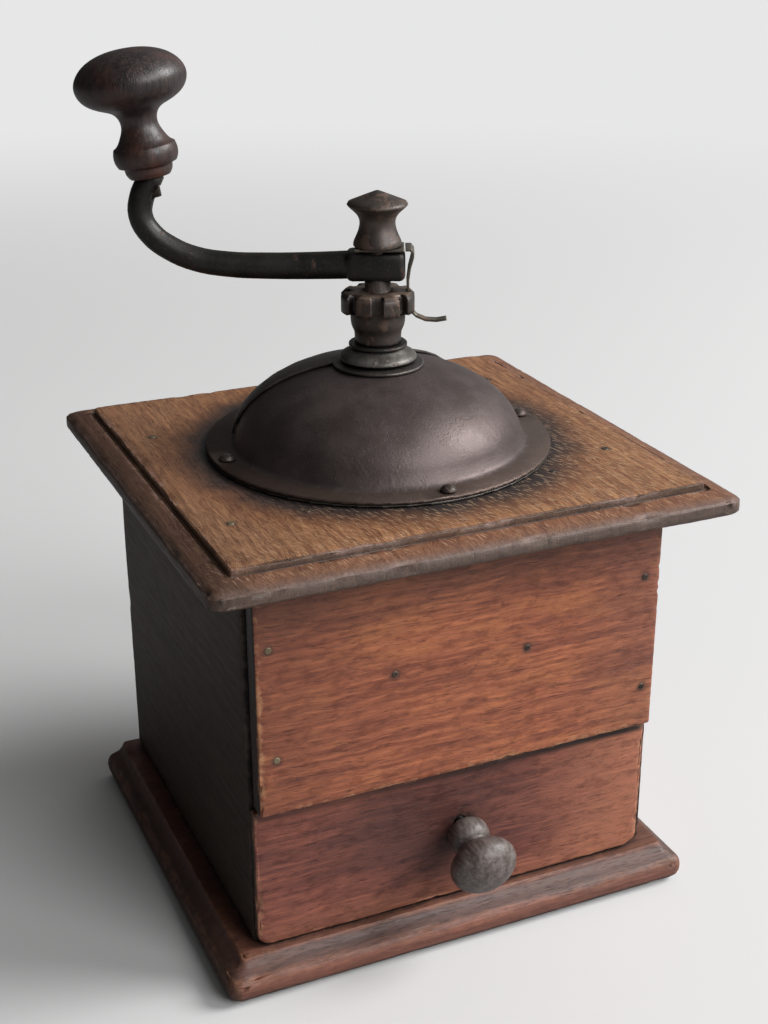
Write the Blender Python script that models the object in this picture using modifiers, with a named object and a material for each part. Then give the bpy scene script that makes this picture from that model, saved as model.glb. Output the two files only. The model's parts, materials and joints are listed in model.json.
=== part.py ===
# Wooden box coffee mill with a bent side crank, an iron dome with a swinging
# cover, cut burrs hung under the top board and a drawer for the grounds.
# Metres, +Z up. The origin is the middle of the base's underside, and the
# drawer faces -Y.

import math

import bmesh
import bpy
from mathutils import Matrix, Vector

COLLECTION_NAME = "box_coffee_mill"
CUTTER_COLLECTION_NAME = "cutters"

# Fits and cuts shared by every piece
SEAT_GAP = 0.0003
CUT_OVERRUN = 0.001
WELD_DISTANCE = 0.00002

# Wooden case
CASE_WIDTH = 0.126
CASE_DEPTH = 0.125
CASE_HEIGHT = 0.1135
SIDE_THICKNESS = 0.008
BACK_THICKNESS = 0.008
FRONT_THICKNESS = 0.0065
FRONT_HEIGHT = 0.0682
FRONT_END_INSET = 0.0021
FRONT_OFFSET = -0.0012
BOARD_EDGE_RADIUS = 0.0008

# Base board: a nosing and a cove on the front and both ends
BASE_HEIGHT = 0.0122
BASE_END_OVERHANG = 0.0108
BASE_FRONT_OVERHANG = 0.0104
BASE_BACK_OVERHANG = 0.0035
BASE_MOULDING_WIDTH = 0.0058
BASE_BACK_EASING = 0.001
BASE_CORNER_RADIUS = 0.0032
BASE_OUTLINE_SHARES = (
    (0.72, 0.0),
    (0.40, 0.04),
    (0.16, 0.13),
    (0.03, 0.26),
    (0.0, 0.40),
    (0.05, 0.55),
    (0.20, 0.66),
    (0.46, 0.72),
    (0.70, 0.79),
    (0.88, 0.89),
    (1.0, 1.0),
)

# Top board: an eased side, a sloping margin, a quirk and a raised field
TOP_THICKNESS = 0.0077
TOP_END_OVERHANG = 0.0142
TOP_FRONT_OVERHANG = 0.0118
TOP_OFFSET = 0.0005
TOP_MARGIN = 0.008
TOP_CORNER_RADIUS = 0.0030
TOP_OUTLINE_SHARES = (
    (0.12, 0.0),
    (0.0, 0.12),
    (0.0, 0.50),
    (0.08, 0.58),
    (0.32, 0.68),
    (0.62, 0.76),
    (0.84, 0.81),
    (0.88, 0.72),
    (0.99, 0.72),
    (1.0, 0.95),
    (1.06, 1.0),
)

# Drawer
DRAWER_FRONT_THICKNESS = 0.008
DRAWER_FRONT_PROUD = 0.003
DRAWER_FRONT_END_INSET = 0.0013
DRAWER_FRONT_PLAY = 0.0004
DRAWER_FRONT_EASING = 0.0009
DRAWER_CORNER_RADIUS = 0.0042
DRAWER_BOX_HEIGHT = 0.038
DRAWER_BACK_CLEARANCE = 0.0021
DRAWER_SIDE_THICKNESS = 0.005
DRAWER_BOTTOM_THICKNESS = 0.003
DRAWER_BOX_PLAY = 0.0004

# Drawer knob, turned, leaning down on the wood screw through the front
DRAWER_KNOB_OFFSET = -0.0005
DRAWER_KNOB_RISE = 0.0028
DRAWER_KNOB_LEAN = math.radians(20)
DRAWER_KNOB_RADIUS = 0.0099
DRAWER_KNOB_LENGTH = 0.0206
DRAWER_KNOB_BORE_DEPTH = 0.011
DRAWER_KNOB_OUTLINE_SHARES = (
    (0.0, 1.0),
    (0.30, 0.985),
    (0.58, 0.945),
    (0.82, 0.870),
    (0.96, 0.775),
    (1.0, 0.685),
    (0.97, 0.600),
    (0.86, 0.520),
    (0.68, 0.455),
    (0.52, 0.415),
    (0.46, 0.385),
    (0.47, 0.355),
    (0.55, 0.320),
    (0.61, 0.260),
    (0.63, 0.180),
    (0.60, 0.100),
    (0.52, 0.045),
    (0.40, 0.0),
)
KNOB_SCREW_SHANK_RADIUS = 0.0014
KNOB_SCREW_HEAD_RADIUS = 0.0036
KNOB_SCREW_HEAD_HEIGHT = 0.0018
KNOB_SCREW_ENGAGEMENT = 0.0085

# Hopper: a sheet funnel in the top board's hole, under the dome
HOPPER_HOLE_RADIUS = 0.039
FUNNEL_SHEET = 0.0006
FUNNEL_DEPTH = 0.0335
FUNNEL_FOOT_RADIUS = 0.0262
FUNNEL_THROAT_RADIUS = 0.0195
FUNNEL_COLLAR_DEPTH = 0.0085

# Dome: a half ellipse with a flange and a fill opening at the back
DOME_RADIUS = 0.0423
DOME_RISE = 0.0234
DOME_SHEET = 0.0008
FLANGE_RADIUS = 0.0505
DOME_FILLET = 0.0012
FILL_OPENING_INNER_RADIUS = 0.0150
FILL_OPENING_OUTER_RADIUS = 0.0385
FILL_OPENING_START = math.radians(40)
FILL_OPENING_END = math.radians(150)

# Swinging cover outside the dome, over the fill opening
COVER_SHEET = 0.0007
COVER_HUB_RADIUS = 0.0125
COVER_FOOT_RISE = 0.0022
COVER_START = math.radians(30)
COVER_END = math.radians(160)
COVER_KNOB_RADIUS = 0.0030
COVER_KNOB_LENGTH = 0.0055
COVER_KNOB_STEM_RADIUS = 0.0013
COVER_KNOB_ELEVATION = math.radians(16)
COVER_KNOB_OUTLINE_SHARES = (
    (0.0, 1.0),
    (0.55, 0.96),
    (0.90, 0.84),
    (1.0, 0.70),
    (0.88, 0.56),
    (0.55, 0.46),
    (0.45, 0.30),
    (0.55, 0.12),
    (0.62, 0.0),
)

# Round headed screws through the flange
FLANGE_SCREW_CIRCLE = 0.0469
FLANGE_SCREW_HEAD_RADIUS = 0.0024
FLANGE_SCREW_HEAD_HEIGHT = 0.0016
FLANGE_SCREW_SHANK_RADIUS = 0.0011
FLANGE_SCREW_LENGTH = 0.0055
ROUND_HEAD_SHARES = (
    (0.0, 1.0),
    (0.42, 0.93),
    (0.78, 0.66),
    (1.0, 0.16),
    (1.0, 0.0),
)

# Neck bush riveted through the dome's crown
NECK_COLLAR_RADIUS = 0.0113
NECK_HEIGHT = 0.0032
NECK_TOP_RADIUS = 0.0074
NECK_SPIGOT_RADIUS = 0.0068
NECK_SPIGOT_DEPTH = 0.0034
NECK_RIVET_RADIUS = 0.0084
NECK_RIVET_HEIGHT = 0.0022

# Burrs
BURR_TOOTH_POINTS = 48
BURR_COARSE_PITCH_POINTS = 4
BURR_FINE_PITCH_POINTS = 2
RING_BURR_RADIUS = 0.0262
RING_BURR_HEIGHT = 0.0215
RING_BURR_TWIST = math.radians(-34)
RING_BURR_MOUTH_RADIUS = 0.0190
RING_BURR_SHARES = (
    (0.0, 0.925, 0.035, 0.0),
    (0.28, 0.895, 0.045, 0.0),
    (0.34, 0.895, 0.060, 1.0),
    (0.68, 0.945, 0.065, 1.0),
    (1.0, 1.0, 0.055, 1.0),
)
CONE_BURR_RADIUS = 0.0168
CONE_BURR_HEIGHT = 0.0210
CONE_BURR_TWIST = math.radians(46)
CONE_BURR_SHARES = (
    (0.0, 1.0, 0.045, 0.0),
    (0.24, 0.955, 0.050, 0.0),
    (0.30, 0.930, 0.130, 1.0),
    (0.62, 0.760, 0.180, 1.0),
    (0.86, 0.600, 0.170, 1.0),
    (1.0, 0.500, 0.110, 1.0),
)
CONE_BURR_BELOW_RING = 0.0005

# Screws that hold the ring burr to the funnel
BURR_SCREW_COUNT = 3
BURR_SCREW_FIRST_ANGLE = math.radians(30)
BURR_SCREW_CIRCLE = 0.0230
BURR_SCREW_HEAD_RADIUS = 0.0020
BURR_SCREW_HEAD_HEIGHT = 0.0010
BURR_SCREW_SHANK_RADIUS = 0.0010
BURR_SCREW_LENGTH = 0.0070

# Strap below the burrs with the spindle's lower bearing
BRIDGE_SHEET = 0.0025
BRIDGE_WIDTH = 0.010
BRIDGE_DROP = 0.0105
BRIDGE_FOOT_END = 0.0258
BRIDGE_FOOT_BEND = 0.0192
BRIDGE_LEG_FOOT = 0.0160
BRIDGE_BOSS_RADIUS = 0.0062
BRIDGE_BOSS_HEIGHT = 0.0060
BRIDGE_SCREW_CIRCLE = 0.0228
BRIDGE_SCREW_HEAD_RADIUS = 0.0026
BRIDGE_SCREW_HEAD_HEIGHT = 0.0016
BRIDGE_SCREW_SHANK_RADIUS = 0.0013
BRIDGE_SCREW_LENGTH = 0.0085

# Spindle
SPINDLE_RADIUS = 0.0040
SPINDLE_TOP_RADIUS = 0.0037
SPINDLE_FOOT_RADIUS = 0.0030
SPINDLE_SHOULDER_RADIUS = 0.0058
SPINDLE_SHOULDER_HEIGHT = 0.0025
SPINDLE_FOOT_BELOW_BOSS = 0.0025
SPINDLE_END_CHAMFER = 0.0006
SPINDLE_THREAD_IN_CAP = 0.0100
BURR_NUT_RADIUS = 0.0064
BURR_NUT_HEIGHT = 0.0030

# Crank: everything along the arm's own direction, from the spindle's axis
CRANK_ANGLE = math.radians(156.05)
WASHER_RADIUS = 0.0104
WASHER_THICKNESS = 0.0008
NUT_HEIGHT = 0.0148
NUT_FOOT_RADIUS = 0.0067
NUT_BARREL_RADIUS = 0.0079
NUT_CROWN_RADIUS = 0.0106
NUT_CROWN_HEIGHT = 0.0056
NUT_CROWN_CHAMFER = 0.0010
NUT_NOTCH_COUNT = 8
NUT_NOTCH_WIDTH = 0.0034
NUT_NOTCH_FLOOR = 0.0079
ARM_ABOVE_NUT = 0.0033
HUB_HEIGHT = 0.0084
HUB_WIDTH = 0.0090
HUB_TAIL = 0.0078
HUB_REACH = 0.0088
HUB_EDGE_RADIUS = 0.0017
ARM_HUB_SECTION_RADIUS = 0.0041
ARM_REACH = 0.0625
ARM_RISE = 0.0250
ARM_OUTLINE_SHARES = (
    (0.10, 0.0, 1.0),
    (0.30, -0.012, 0.96),
    (0.50, -0.012, 0.93),
    (0.68, 0.008, 0.90),
    (0.82, 0.070, 0.88),
    (0.93, 0.190, 0.87),
    (1.015, 0.360, 0.86),
    (1.055, 0.560, 0.85),
    (1.045, 0.760, 0.85),
    (1.015, 0.920, 0.86),
    (0.992, 1.040, 0.86),
)
KNOB_LEAN = math.radians(8.9)
CRANK_KNOB_RADIUS = 0.0157
CRANK_KNOB_HEIGHT = 0.0343
CRANK_KNOB_BORE_DEPTH = 0.0235
CRANK_KNOB_OUTLINE_SHARES = (
    (0.0, 1.0),
    (0.30, 0.993),
    (0.56, 0.965),
    (0.78, 0.915),
    (0.93, 0.845),
    (1.0, 0.770),
    (0.97, 0.690),
    (0.86, 0.620),
    (0.66, 0.570),
    (0.46, 0.540),
    (0.36, 0.500),
    (0.315, 0.440),
    (0.33, 0.380),
    (0.41, 0.310),
    (0.47, 0.265),
    (0.545, 0.245),
    (0.575, 0.200),
    (0.57, 0.140),
    (0.52, 0.100),
    (0.43, 0.085),
    (0.42, 0.035),
    (0.36, 0.0),
)
KNOB_PIN_RADIUS = 0.0019
KNOB_PIN_IN_ARM = 0.0055
KNOB_PIN_IN_KNOB = 0.0225
CAP_RADIUS = 0.0086
CAP_HEIGHT = 0.0154
CAP_OUTLINE_SHARES = (
    (0.0, 1.0),
    (0.10, 0.985),
    (0.96, 0.785),
    (1.0, 0.745),
    (0.94, 0.700),
    (0.72, 0.600),
    (0.60, 0.500),
    (0.58, 0.400),
    (0.62, 0.280),
    (0.74, 0.130),
    (0.80, 0.060),
    (0.80, 0.0),
)
CATCH_SHEET = 0.0008
CATCH_WIDTH = 0.0074
CATCH_TONGUE_WIDTH = 0.0024
CLIP_TAIL = 0.0064
CATCH_BULGE = 0.0014
CATCH_TIP_REACH = 0.0110
CATCH_TIP_DROP = 0.0030

# Facets of round pieces
DOME_STEPS = 72
LARGE_STEPS = 48
MIDDLE_STEPS = 36
SMALL_STEPS = 20
TINY_STEPS = 12
DOME_ROWS = 9
CORNER_STEPS = 4
SHARP_ANGLE = math.radians(35)

# Heights and planes worked out from the sizes above
CASE_FLOOR = BASE_HEIGHT + SEAT_GAP
TOP_UNDERSIDE = BASE_HEIGHT + CASE_HEIGHT
BOARD_TOP = TOP_UNDERSIDE - SEAT_GAP
BOARD_LENGTH = BOARD_TOP - CASE_FLOOR
FRONT_PLANE = -CASE_DEPTH / 2
BACK_PLANE = CASE_DEPTH / 2
SIDE_FRONT_EDGE = FRONT_PLANE + FRONT_THICKNESS + SEAT_GAP
INNER_HALF_WIDTH = CASE_WIDTH / 2 - SIDE_THICKNESS
FRONT_FOOT = BOARD_TOP - FRONT_HEIGHT
TOP_SURFACE = TOP_UNDERSIDE + TOP_THICKNESS
FUNNEL_MOUTH_RADIUS = HOPPER_HOLE_RADIUS - SEAT_GAP - FUNNEL_SHEET
FUNNEL_FLANGE_TOP = TOP_SURFACE + SEAT_GAP + FUNNEL_SHEET
FLANGE_TOP = FUNNEL_FLANGE_TOP + SEAT_GAP + DOME_SHEET
DOME_CROWN = FLANGE_TOP + DOME_RISE
NECK_SEAT = DOME_CROWN + SEAT_GAP + COVER_SHEET + SEAT_GAP
NECK_TOP = NECK_SEAT + NECK_HEIGHT
NUT_FOOT = NECK_TOP + SEAT_GAP + WASHER_THICKNESS + SEAT_GAP
NUT_TOP = NUT_FOOT + NUT_HEIGHT
HUB_FOOT = NUT_TOP + ARM_ABOVE_NUT
HUB_TOP = HUB_FOOT + HUB_HEIGHT
HUB_MIDDLE = HUB_FOOT + HUB_HEIGHT / 2
CATCH_LEVEL = HUB_TOP + SEAT_GAP + CATCH_SHEET / 2
CAP_FOOT = CATCH_LEVEL + CATCH_SHEET / 2 + SEAT_GAP
FUNNEL_FLOOR = TOP_SURFACE + SEAT_GAP - FUNNEL_DEPTH
RING_BURR_TOP = FUNNEL_FLOOR - SEAT_GAP
RING_BURR_FOOT = RING_BURR_TOP - RING_BURR_HEIGHT
CONE_BURR_FOOT = RING_BURR_FOOT - CONE_BURR_BELOW_RING
CONE_BURR_TOP = CONE_BURR_FOOT + CONE_BURR_HEIGHT
BRIDGE_FOOT_LEVEL = RING_BURR_FOOT - SEAT_GAP - BRIDGE_SHEET / 2
BRIDGE_BAR_LEVEL = BRIDGE_FOOT_LEVEL - BRIDGE_DROP
BRIDGE_BOSS_FOOT = BRIDGE_BAR_LEVEL - BRIDGE_BOSS_HEIGHT / 2
SPINDLE_FOOT = BRIDGE_BOSS_FOOT - SPINDLE_FOOT_BELOW_BOSS
BURR_NUT_TOP = CONE_BURR_FOOT - SEAT_GAP
DRAWER_FLOOR = BASE_HEIGHT + DRAWER_FRONT_PLAY
DRAWER_FRONT_TOP = FRONT_FOOT - DRAWER_FRONT_PLAY
DRAWER_PLANE = SIDE_FRONT_EDGE - DRAWER_FRONT_PROUD
DRAWER_FRONT_BACK = DRAWER_PLANE + DRAWER_FRONT_THICKNESS
DRAWER_BOX_FRONT = DRAWER_FRONT_BACK + SEAT_GAP
DRAWER_BOX_BACK = BACK_PLANE - BACK_THICKNESS - DRAWER_BACK_CLEARANCE
DRAWER_KNOB_HEIGHT = (DRAWER_FLOOR + DRAWER_FRONT_TOP) / 2 + DRAWER_KNOB_RISE
DRAWER_BOX_HALF_WIDTH = INNER_HALF_WIDTH - DRAWER_BOX_PLAY
DRAWER_WALL_FLOOR = DRAWER_FLOOR + DRAWER_BOTTOM_THICKNESS + SEAT_GAP

# Colour, roughness and metallic value of each finish
FINISHES = {
    "front_wood": ((0.30, 0.115, 0.045), 0.48, 0.0),
    "side_wood": ((0.085, 0.038, 0.022), 0.55, 0.0),
    "top_wood": ((0.33, 0.17, 0.075), 0.50, 0.0),
    "base_wood": ((0.20, 0.095, 0.055), 0.52, 0.0),
    "drawer_wood": ((0.235, 0.085, 0.045), 0.48, 0.0),
    "inner_wood": ((0.36, 0.24, 0.13), 0.70, 0.0),
    "knob_wood": ((0.085, 0.045, 0.032), 0.42, 0.0),
    "dome_iron": ((0.050, 0.036, 0.034), 0.42, 0.85),
    "cast_iron": ((0.035, 0.031, 0.030), 0.50, 0.85),
    "crank_iron": ((0.045, 0.034, 0.030), 0.48, 0.85),
    "rusty_iron": ((0.150, 0.085, 0.060), 0.65, 0.60),
    "spring_steel": ((0.180, 0.140, 0.110), 0.55, 0.70),
    "burr_steel": ((0.150, 0.140, 0.130), 0.40, 0.95),
}


# Scene and finishes


def clear_scene():
    for old in list(bpy.data.objects):
        bpy.data.objects.remove(old, do_unlink=True)


def new_collection(name):
    made = bpy.data.collections.new(name)
    bpy.context.scene.collection.children.link(made)
    return made


def finish_material(finish):
    known = bpy.data.materials.get(finish)
    if known:
        return known
    colour, roughness, metallic = FINISHES[finish]
    made = bpy.data.materials.new(finish)
    made.use_nodes = True
    shader = made.node_tree.nodes["Principled BSDF"]
    shader.inputs["Base Color"].default_value = (*colour, 1.0)
    shader.inputs["Roughness"].default_value = roughness
    shader.inputs["Metallic"].default_value = metallic
    made.diffuse_color = (*colour, 1.0)
    return made


def add_piece(name, data, finish, parent=None):
    piece = bpy.data.objects.new(name, data)
    own = finish_material(finish).copy()
    own.name = name
    data.materials.append(own)
    bpy.data.collections[COLLECTION_NAME].objects.link(piece)
    piece.parent = parent
    return piece


def add_cutter(name, data, parent=None):
    cutter = bpy.data.objects.new(name, data)
    cutter.hide_render = True
    cutter.display_type = "WIRE"
    bpy.data.collections[CUTTER_COLLECTION_NAME].objects.link(cutter)
    cutter.parent = parent
    return cutter


def add_axis(name, location=(0, 0, 0), rotation=(0, 0, 0), parent=None):
    axis = bpy.data.objects.new(name, None)
    axis.location = location
    axis.rotation_euler = rotation
    bpy.data.collections[COLLECTION_NAME].objects.link(axis)
    axis.parent = parent
    return axis


# Meshes and modifiers


def mesh_from(bm, name, smooth=False):
    mesh = bpy.data.meshes.new(name)
    bm.to_mesh(mesh)
    bm.free()
    if smooth:
        mesh.shade_smooth()
        mesh.set_sharp_from_angle(angle=SHARP_ANGLE)
    return mesh


def box_mesh(name, low, high):
    bm = bmesh.new()
    bmesh.ops.create_cube(bm, size=1)
    size = Vector(high) - Vector(low)
    bmesh.ops.scale(bm, vec=size, verts=bm.verts)
    bmesh.ops.translate(bm, vec=(Vector(high) + Vector(low)) / 2, verts=bm.verts)
    return mesh_from(bm, name)


def board(name, low, high, finish, parent=None, edge_radius=BOARD_EDGE_RADIUS):
    piece = add_piece(name, box_mesh(name, low, high), finish, parent)
    bevel = piece.modifiers.new("eased_edges", "BEVEL")
    bevel.width = edge_radius
    bevel.segments = 2
    bevel.limit_method = "ANGLE"
    return piece


def scaled_outline(shares, radius, height, base=0.0):
    return [(radius * across, base + height * up) for across, up in shares]


def profile_mesh(name, outline, closed):
    bm = bmesh.new()
    verts = [bm.verts.new((radius, 0, height)) for radius, height in outline]
    for start, end in zip(verts, verts[1:]):
        bm.edges.new((start, end))
    if closed:
        bm.edges.new((verts[-1], verts[0]))
    return mesh_from(bm, name)


def add_screw(piece, steps):
    screw = piece.modifiers.new("turned", "SCREW")
    screw.steps = steps
    screw.render_steps = steps
    screw.use_merge_vertices = True
    screw.merge_threshold = WELD_DISTANCE
    screw.use_smooth_shade = True
    return screw


def turned(name, outline, finish, parent=None, steps=MIDDLE_STEPS, closed=False):
    piece = add_piece(name, profile_mesh(name, outline, closed), finish, parent)
    add_screw(piece, steps)
    return piece


def through_bored(outline, bore):
    top = outline[0][1]
    foot = outline[-1][1]
    return [(bore, top), *outline, (bore, foot)]


def blind_bored(outline, bore, depth):
    foot = outline[-1][1]
    return [*outline, (bore, foot), (bore, foot + depth), (0, foot + depth)]


def spun_surface(name, outline, steps, keep_face):
    bm = bmesh.new()
    verts = [bm.verts.new((radius, 0, height)) for radius, height in outline]
    edges = [bm.edges.new(pair) for pair in zip(verts, verts[1:])]
    bmesh.ops.spin(
        bm,
        geom=[*verts, *edges],
        axis=(0, 0, 1),
        cent=(0, 0, 0),
        angle=math.tau,
        steps=steps,
        use_merge=True,
    )
    bmesh.ops.remove_doubles(bm, verts=bm.verts, dist=WELD_DISTANCE)
    dropped = [face for face in bm.faces if not keep_face(face.calc_center_median())]
    bmesh.ops.delete(bm, geom=dropped, context="FACES")
    bmesh.ops.recalc_face_normals(bm, faces=bm.faces)
    highest = max(bm.faces, key=lambda face: face.calc_center_median().z)
    if highest.normal.z < 0:
        bmesh.ops.reverse_faces(bm, faces=bm.faces)
    return mesh_from(bm, name, smooth=True)


def add_sheet(piece, thickness):
    solid = piece.modifiers.new("sheet", "SOLIDIFY")
    solid.thickness = thickness
    solid.offset = -1
    solid.use_even_offset = True
    return solid


def rounded_corners(low, high, radii):
    (left, front), (right, back) = low, high
    corners = ((left, front), (right, front), (right, back), (left, back))
    inward = ((1, 1), (-1, 1), (-1, -1), (1, -1))
    points = []
    for turn, (corner, side, radius) in enumerate(zip(corners, inward, radii)):
        for step in range(CORNER_STEPS + 1):
            angle = math.pi + (turn + step / CORNER_STEPS) * math.pi / 2
            across = corner[0] + radius * (side[0] + math.cos(angle))
            along = corner[1] + radius * (side[1] + math.sin(angle))
            points.append((across, along))
    return points


def loft(name, rings):
    bm = bmesh.new()
    rows = [[bm.verts.new(point) for point in ring] for ring in rings]
    bm.faces.new(rows[0])
    bm.faces.new(rows[-1])
    for lower, upper in zip(rows, rows[1:]):
        for here in range(len(lower)):
            beside = (here + 1) % len(lower)
            bm.faces.new((lower[here], lower[beside], upper[beside], upper[here]))
    bmesh.ops.recalc_face_normals(bm, faces=bm.faces)
    return mesh_from(bm, name)


def rod_mesh(name, radius, start, end, steps):
    start = Vector(start)
    along = Vector(end) - start
    bm = bmesh.new()
    bmesh.ops.create_cone(
        bm,
        cap_ends=True,
        segments=steps,
        radius1=radius,
        radius2=radius,
        depth=along.length,
    )
    turn = Vector((0, 0, 1)).rotation_difference(along).to_matrix().to_4x4()
    place = Matrix.Translation(start + along / 2) @ turn
    bmesh.ops.transform(bm, matrix=place, verts=bm.verts)
    return mesh_from(bm, name, smooth=True)


def boolean(piece, other, operation="DIFFERENCE"):
    change = piece.modifiers.new(other.name, "BOOLEAN")
    change.operation = operation
    change.solver = "EXACT"
    change.object = other
    return change


def drill(piece, name, radius, start, end, parent=None, steps=SMALL_STEPS):
    cutter = add_cutter(name, rod_mesh(name, radius, start, end, steps), parent)
    boolean(piece, cutter)


def curve_outline(name, points):
    curve = bpy.data.curves.new(name, "CURVE")
    curve.dimensions = "2D"
    curve.fill_mode = "BOTH"
    spline = curve.splines.new("POLY")
    spline.points.add(len(points) - 1)
    for point, (across, up) in zip(spline.points, points):
        point.co = (across, up, 0, 1)
    spline.use_cyclic_u = True
    return curve


def strap_outline(path, thickness):
    upper = []
    lower = []
    for here, point in enumerate(path):
        before = Vector(path[max(here - 1, 0)])
        after = Vector(path[min(here + 1, len(path) - 1)])
        run_in = (Vector(point) - before).normalized() if here else None
        run_out = (after - Vector(point)).normalized() if here < len(path) - 1 else None
        run_in = run_in or run_out
        run_out = run_out or run_in
        middle = (run_in + run_out).normalized()
        side = Vector((-middle.y, middle.x))
        square = Vector((-run_in.y, run_in.x))
        reach = thickness / 2 / side.dot(square)
        upper.append(tuple(Vector(point) + side * reach))
        lower.append(tuple(Vector(point) - side * reach))
    return [*upper, *reversed(lower)]


def meshed(curve_object):
    bpy.context.view_layer.update()
    evaluated = curve_object.evaluated_get(bpy.context.evaluated_depsgraph_get())
    mesh = bpy.data.meshes.new_from_object(evaluated)
    bm = bmesh.new()
    bm.from_mesh(mesh)
    bmesh.ops.remove_doubles(bm, verts=bm.verts, dist=WELD_DISTANCE)
    bmesh.ops.transform(bm, matrix=curve_object.matrix_world, verts=bm.verts)
    bm.to_mesh(mesh)
    bm.free()
    bpy.data.objects.remove(curve_object, do_unlink=True)
    return mesh


def strap_mesh(name, path, thickness, width):
    curve = curve_outline(name, strap_outline(path, thickness))
    curve.extrude = width / 2
    holder = bpy.data.objects.new(name, curve)
    holder.rotation_euler = (math.pi / 2, 0, 0)
    bpy.data.collections[COLLECTION_NAME].objects.link(holder)
    return meshed(holder)


# Wooden case


def base_board():
    rings = []
    side = CASE_WIDTH / 2 + BASE_END_OVERHANG
    front = SIDE_FRONT_EDGE - BASE_FRONT_OVERHANG
    back = BACK_PLANE + BASE_BACK_OVERHANG
    deepest = BASE_OUTLINE_SHARES[0][0]
    for inset_share, height_share in BASE_OUTLINE_SHARES:
        inset = BASE_MOULDING_WIDTH * inset_share
        easing = BASE_BACK_EASING * min(inset_share / deepest, 1)
        height = BASE_HEIGHT * height_share
        front_radius = BASE_CORNER_RADIUS * (1 - inset_share / 2)
        radii = (front_radius, front_radius, BOARD_EDGE_RADIUS, BOARD_EDGE_RADIUS)
        outline = rounded_corners(
            (-side + inset, front + inset), (side - inset, back - easing), radii
        )
        rings.append([(x, y, height) for x, y in outline])
    add_piece("base_board", loft("base_board", rings), "base_wood")


def top_board():
    rings = []
    side = CASE_WIDTH / 2 + TOP_END_OVERHANG
    front = CASE_DEPTH / 2 + TOP_FRONT_OVERHANG
    sharpest = TOP_OUTLINE_SHARES[-1][0]
    for inset_share, height_share in TOP_OUTLINE_SHARES:
        across = side - TOP_MARGIN * inset_share
        deep = front - TOP_MARGIN * inset_share
        height = TOP_UNDERSIDE + TOP_THICKNESS * height_share
        radius = TOP_CORNER_RADIUS * (1 - inset_share / sharpest) + BOARD_EDGE_RADIUS
        outline = rounded_corners(
            (TOP_OFFSET - across, -deep), (TOP_OFFSET + across, deep), [radius] * 4
        )
        rings.append([(x, y, height) for x, y in outline])
    piece = add_piece("top_board", loft("top_board", rings), "top_wood")
    drill(
        piece,
        "hopper_hole_cutter",
        HOPPER_HOLE_RADIUS,
        (0, 0, TOP_UNDERSIDE - CUT_OVERRUN),
        (0, 0, TOP_SURFACE + CUT_OVERRUN),
        steps=LARGE_STEPS,
    )
    for name, x, y in flange_screw_places():
        drill(
            piece,
            name + "_board_cutter",
            FLANGE_SCREW_SHANK_RADIUS + SEAT_GAP,
            (x, y, FLANGE_TOP - FLANGE_SCREW_LENGTH - SEAT_GAP),
            (x, y, TOP_SURFACE + CUT_OVERRUN),
            steps=TINY_STEPS,
        )


def side_board(name, sign):
    inner = sign * INNER_HALF_WIDTH
    outer = sign * CASE_WIDTH / 2
    low = (min(inner, outer), SIDE_FRONT_EDGE, CASE_FLOOR)
    high = (max(inner, outer), BACK_PLANE, BOARD_TOP)
    board(name, low, high, "side_wood")


def back_board():
    half = INNER_HALF_WIDTH - SEAT_GAP
    low = (-half, BACK_PLANE - BACK_THICKNESS, CASE_FLOOR)
    high = (half, BACK_PLANE, BOARD_TOP)
    board("back_board", low, high, "side_wood")


def front_board():
    half = CASE_WIDTH / 2 - FRONT_END_INSET
    low = (FRONT_OFFSET - half, FRONT_PLANE, FRONT_FOOT)
    high = (FRONT_OFFSET + half, FRONT_PLANE + FRONT_THICKNESS, BOARD_TOP)
    board("front_board", low, high, "front_wood")


# Drawer


def drawer_front(parent, knob_axis):
    lip_half = CASE_WIDTH / 2 - DRAWER_FRONT_END_INSET
    lip_back = SIDE_FRONT_EDGE - SEAT_GAP
    tongue_half = INNER_HALF_WIDTH - DRAWER_FRONT_PLAY
    tongue_floor = DRAWER_FLOOR + DRAWER_FRONT_EASING / 2
    tongue_top = DRAWER_FRONT_TOP - DRAWER_FRONT_EASING / 2
    easing = DRAWER_FRONT_EASING
    lip = (FRONT_OFFSET - lip_half, DRAWER_FLOOR, FRONT_OFFSET + lip_half, DRAWER_FRONT_TOP)
    tongue = (-tongue_half, tongue_floor, tongue_half, tongue_top)
    steps = (
        (DRAWER_PLANE, lip, easing),
        (DRAWER_PLANE + easing / 4, lip, easing / 3),
        (DRAWER_PLANE + easing, lip, 0),
        (lip_back, lip, 0),
        (lip_back, tongue, 0),
        (DRAWER_FRONT_BACK, tongue, 0),
    )
    rings = []
    for depth, (left, low, right, high), inset in steps:
        radius = DRAWER_CORNER_RADIUS if left == lip[0] else BOARD_EDGE_RADIUS
        radii = (radius, radius, BOARD_EDGE_RADIUS, BOARD_EDGE_RADIUS)
        outline = rounded_corners(
            (left + inset, low + inset), (right - inset, high - inset), radii
        )
        rings.append([(x, depth, z) for x, z in outline])
    mesh = loft("drawer_front", rings)
    piece = add_piece("drawer_front", mesh, "drawer_wood", parent)
    drill(
        piece,
        "knob_screw_hole_cutter",
        KNOB_SCREW_SHANK_RADIUS + SEAT_GAP,
        (0, 0, KNOB_SCREW_HEAD_RADIUS),
        (0, 0, -2 * DRAWER_FRONT_THICKNESS),
        knob_axis,
    )


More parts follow.
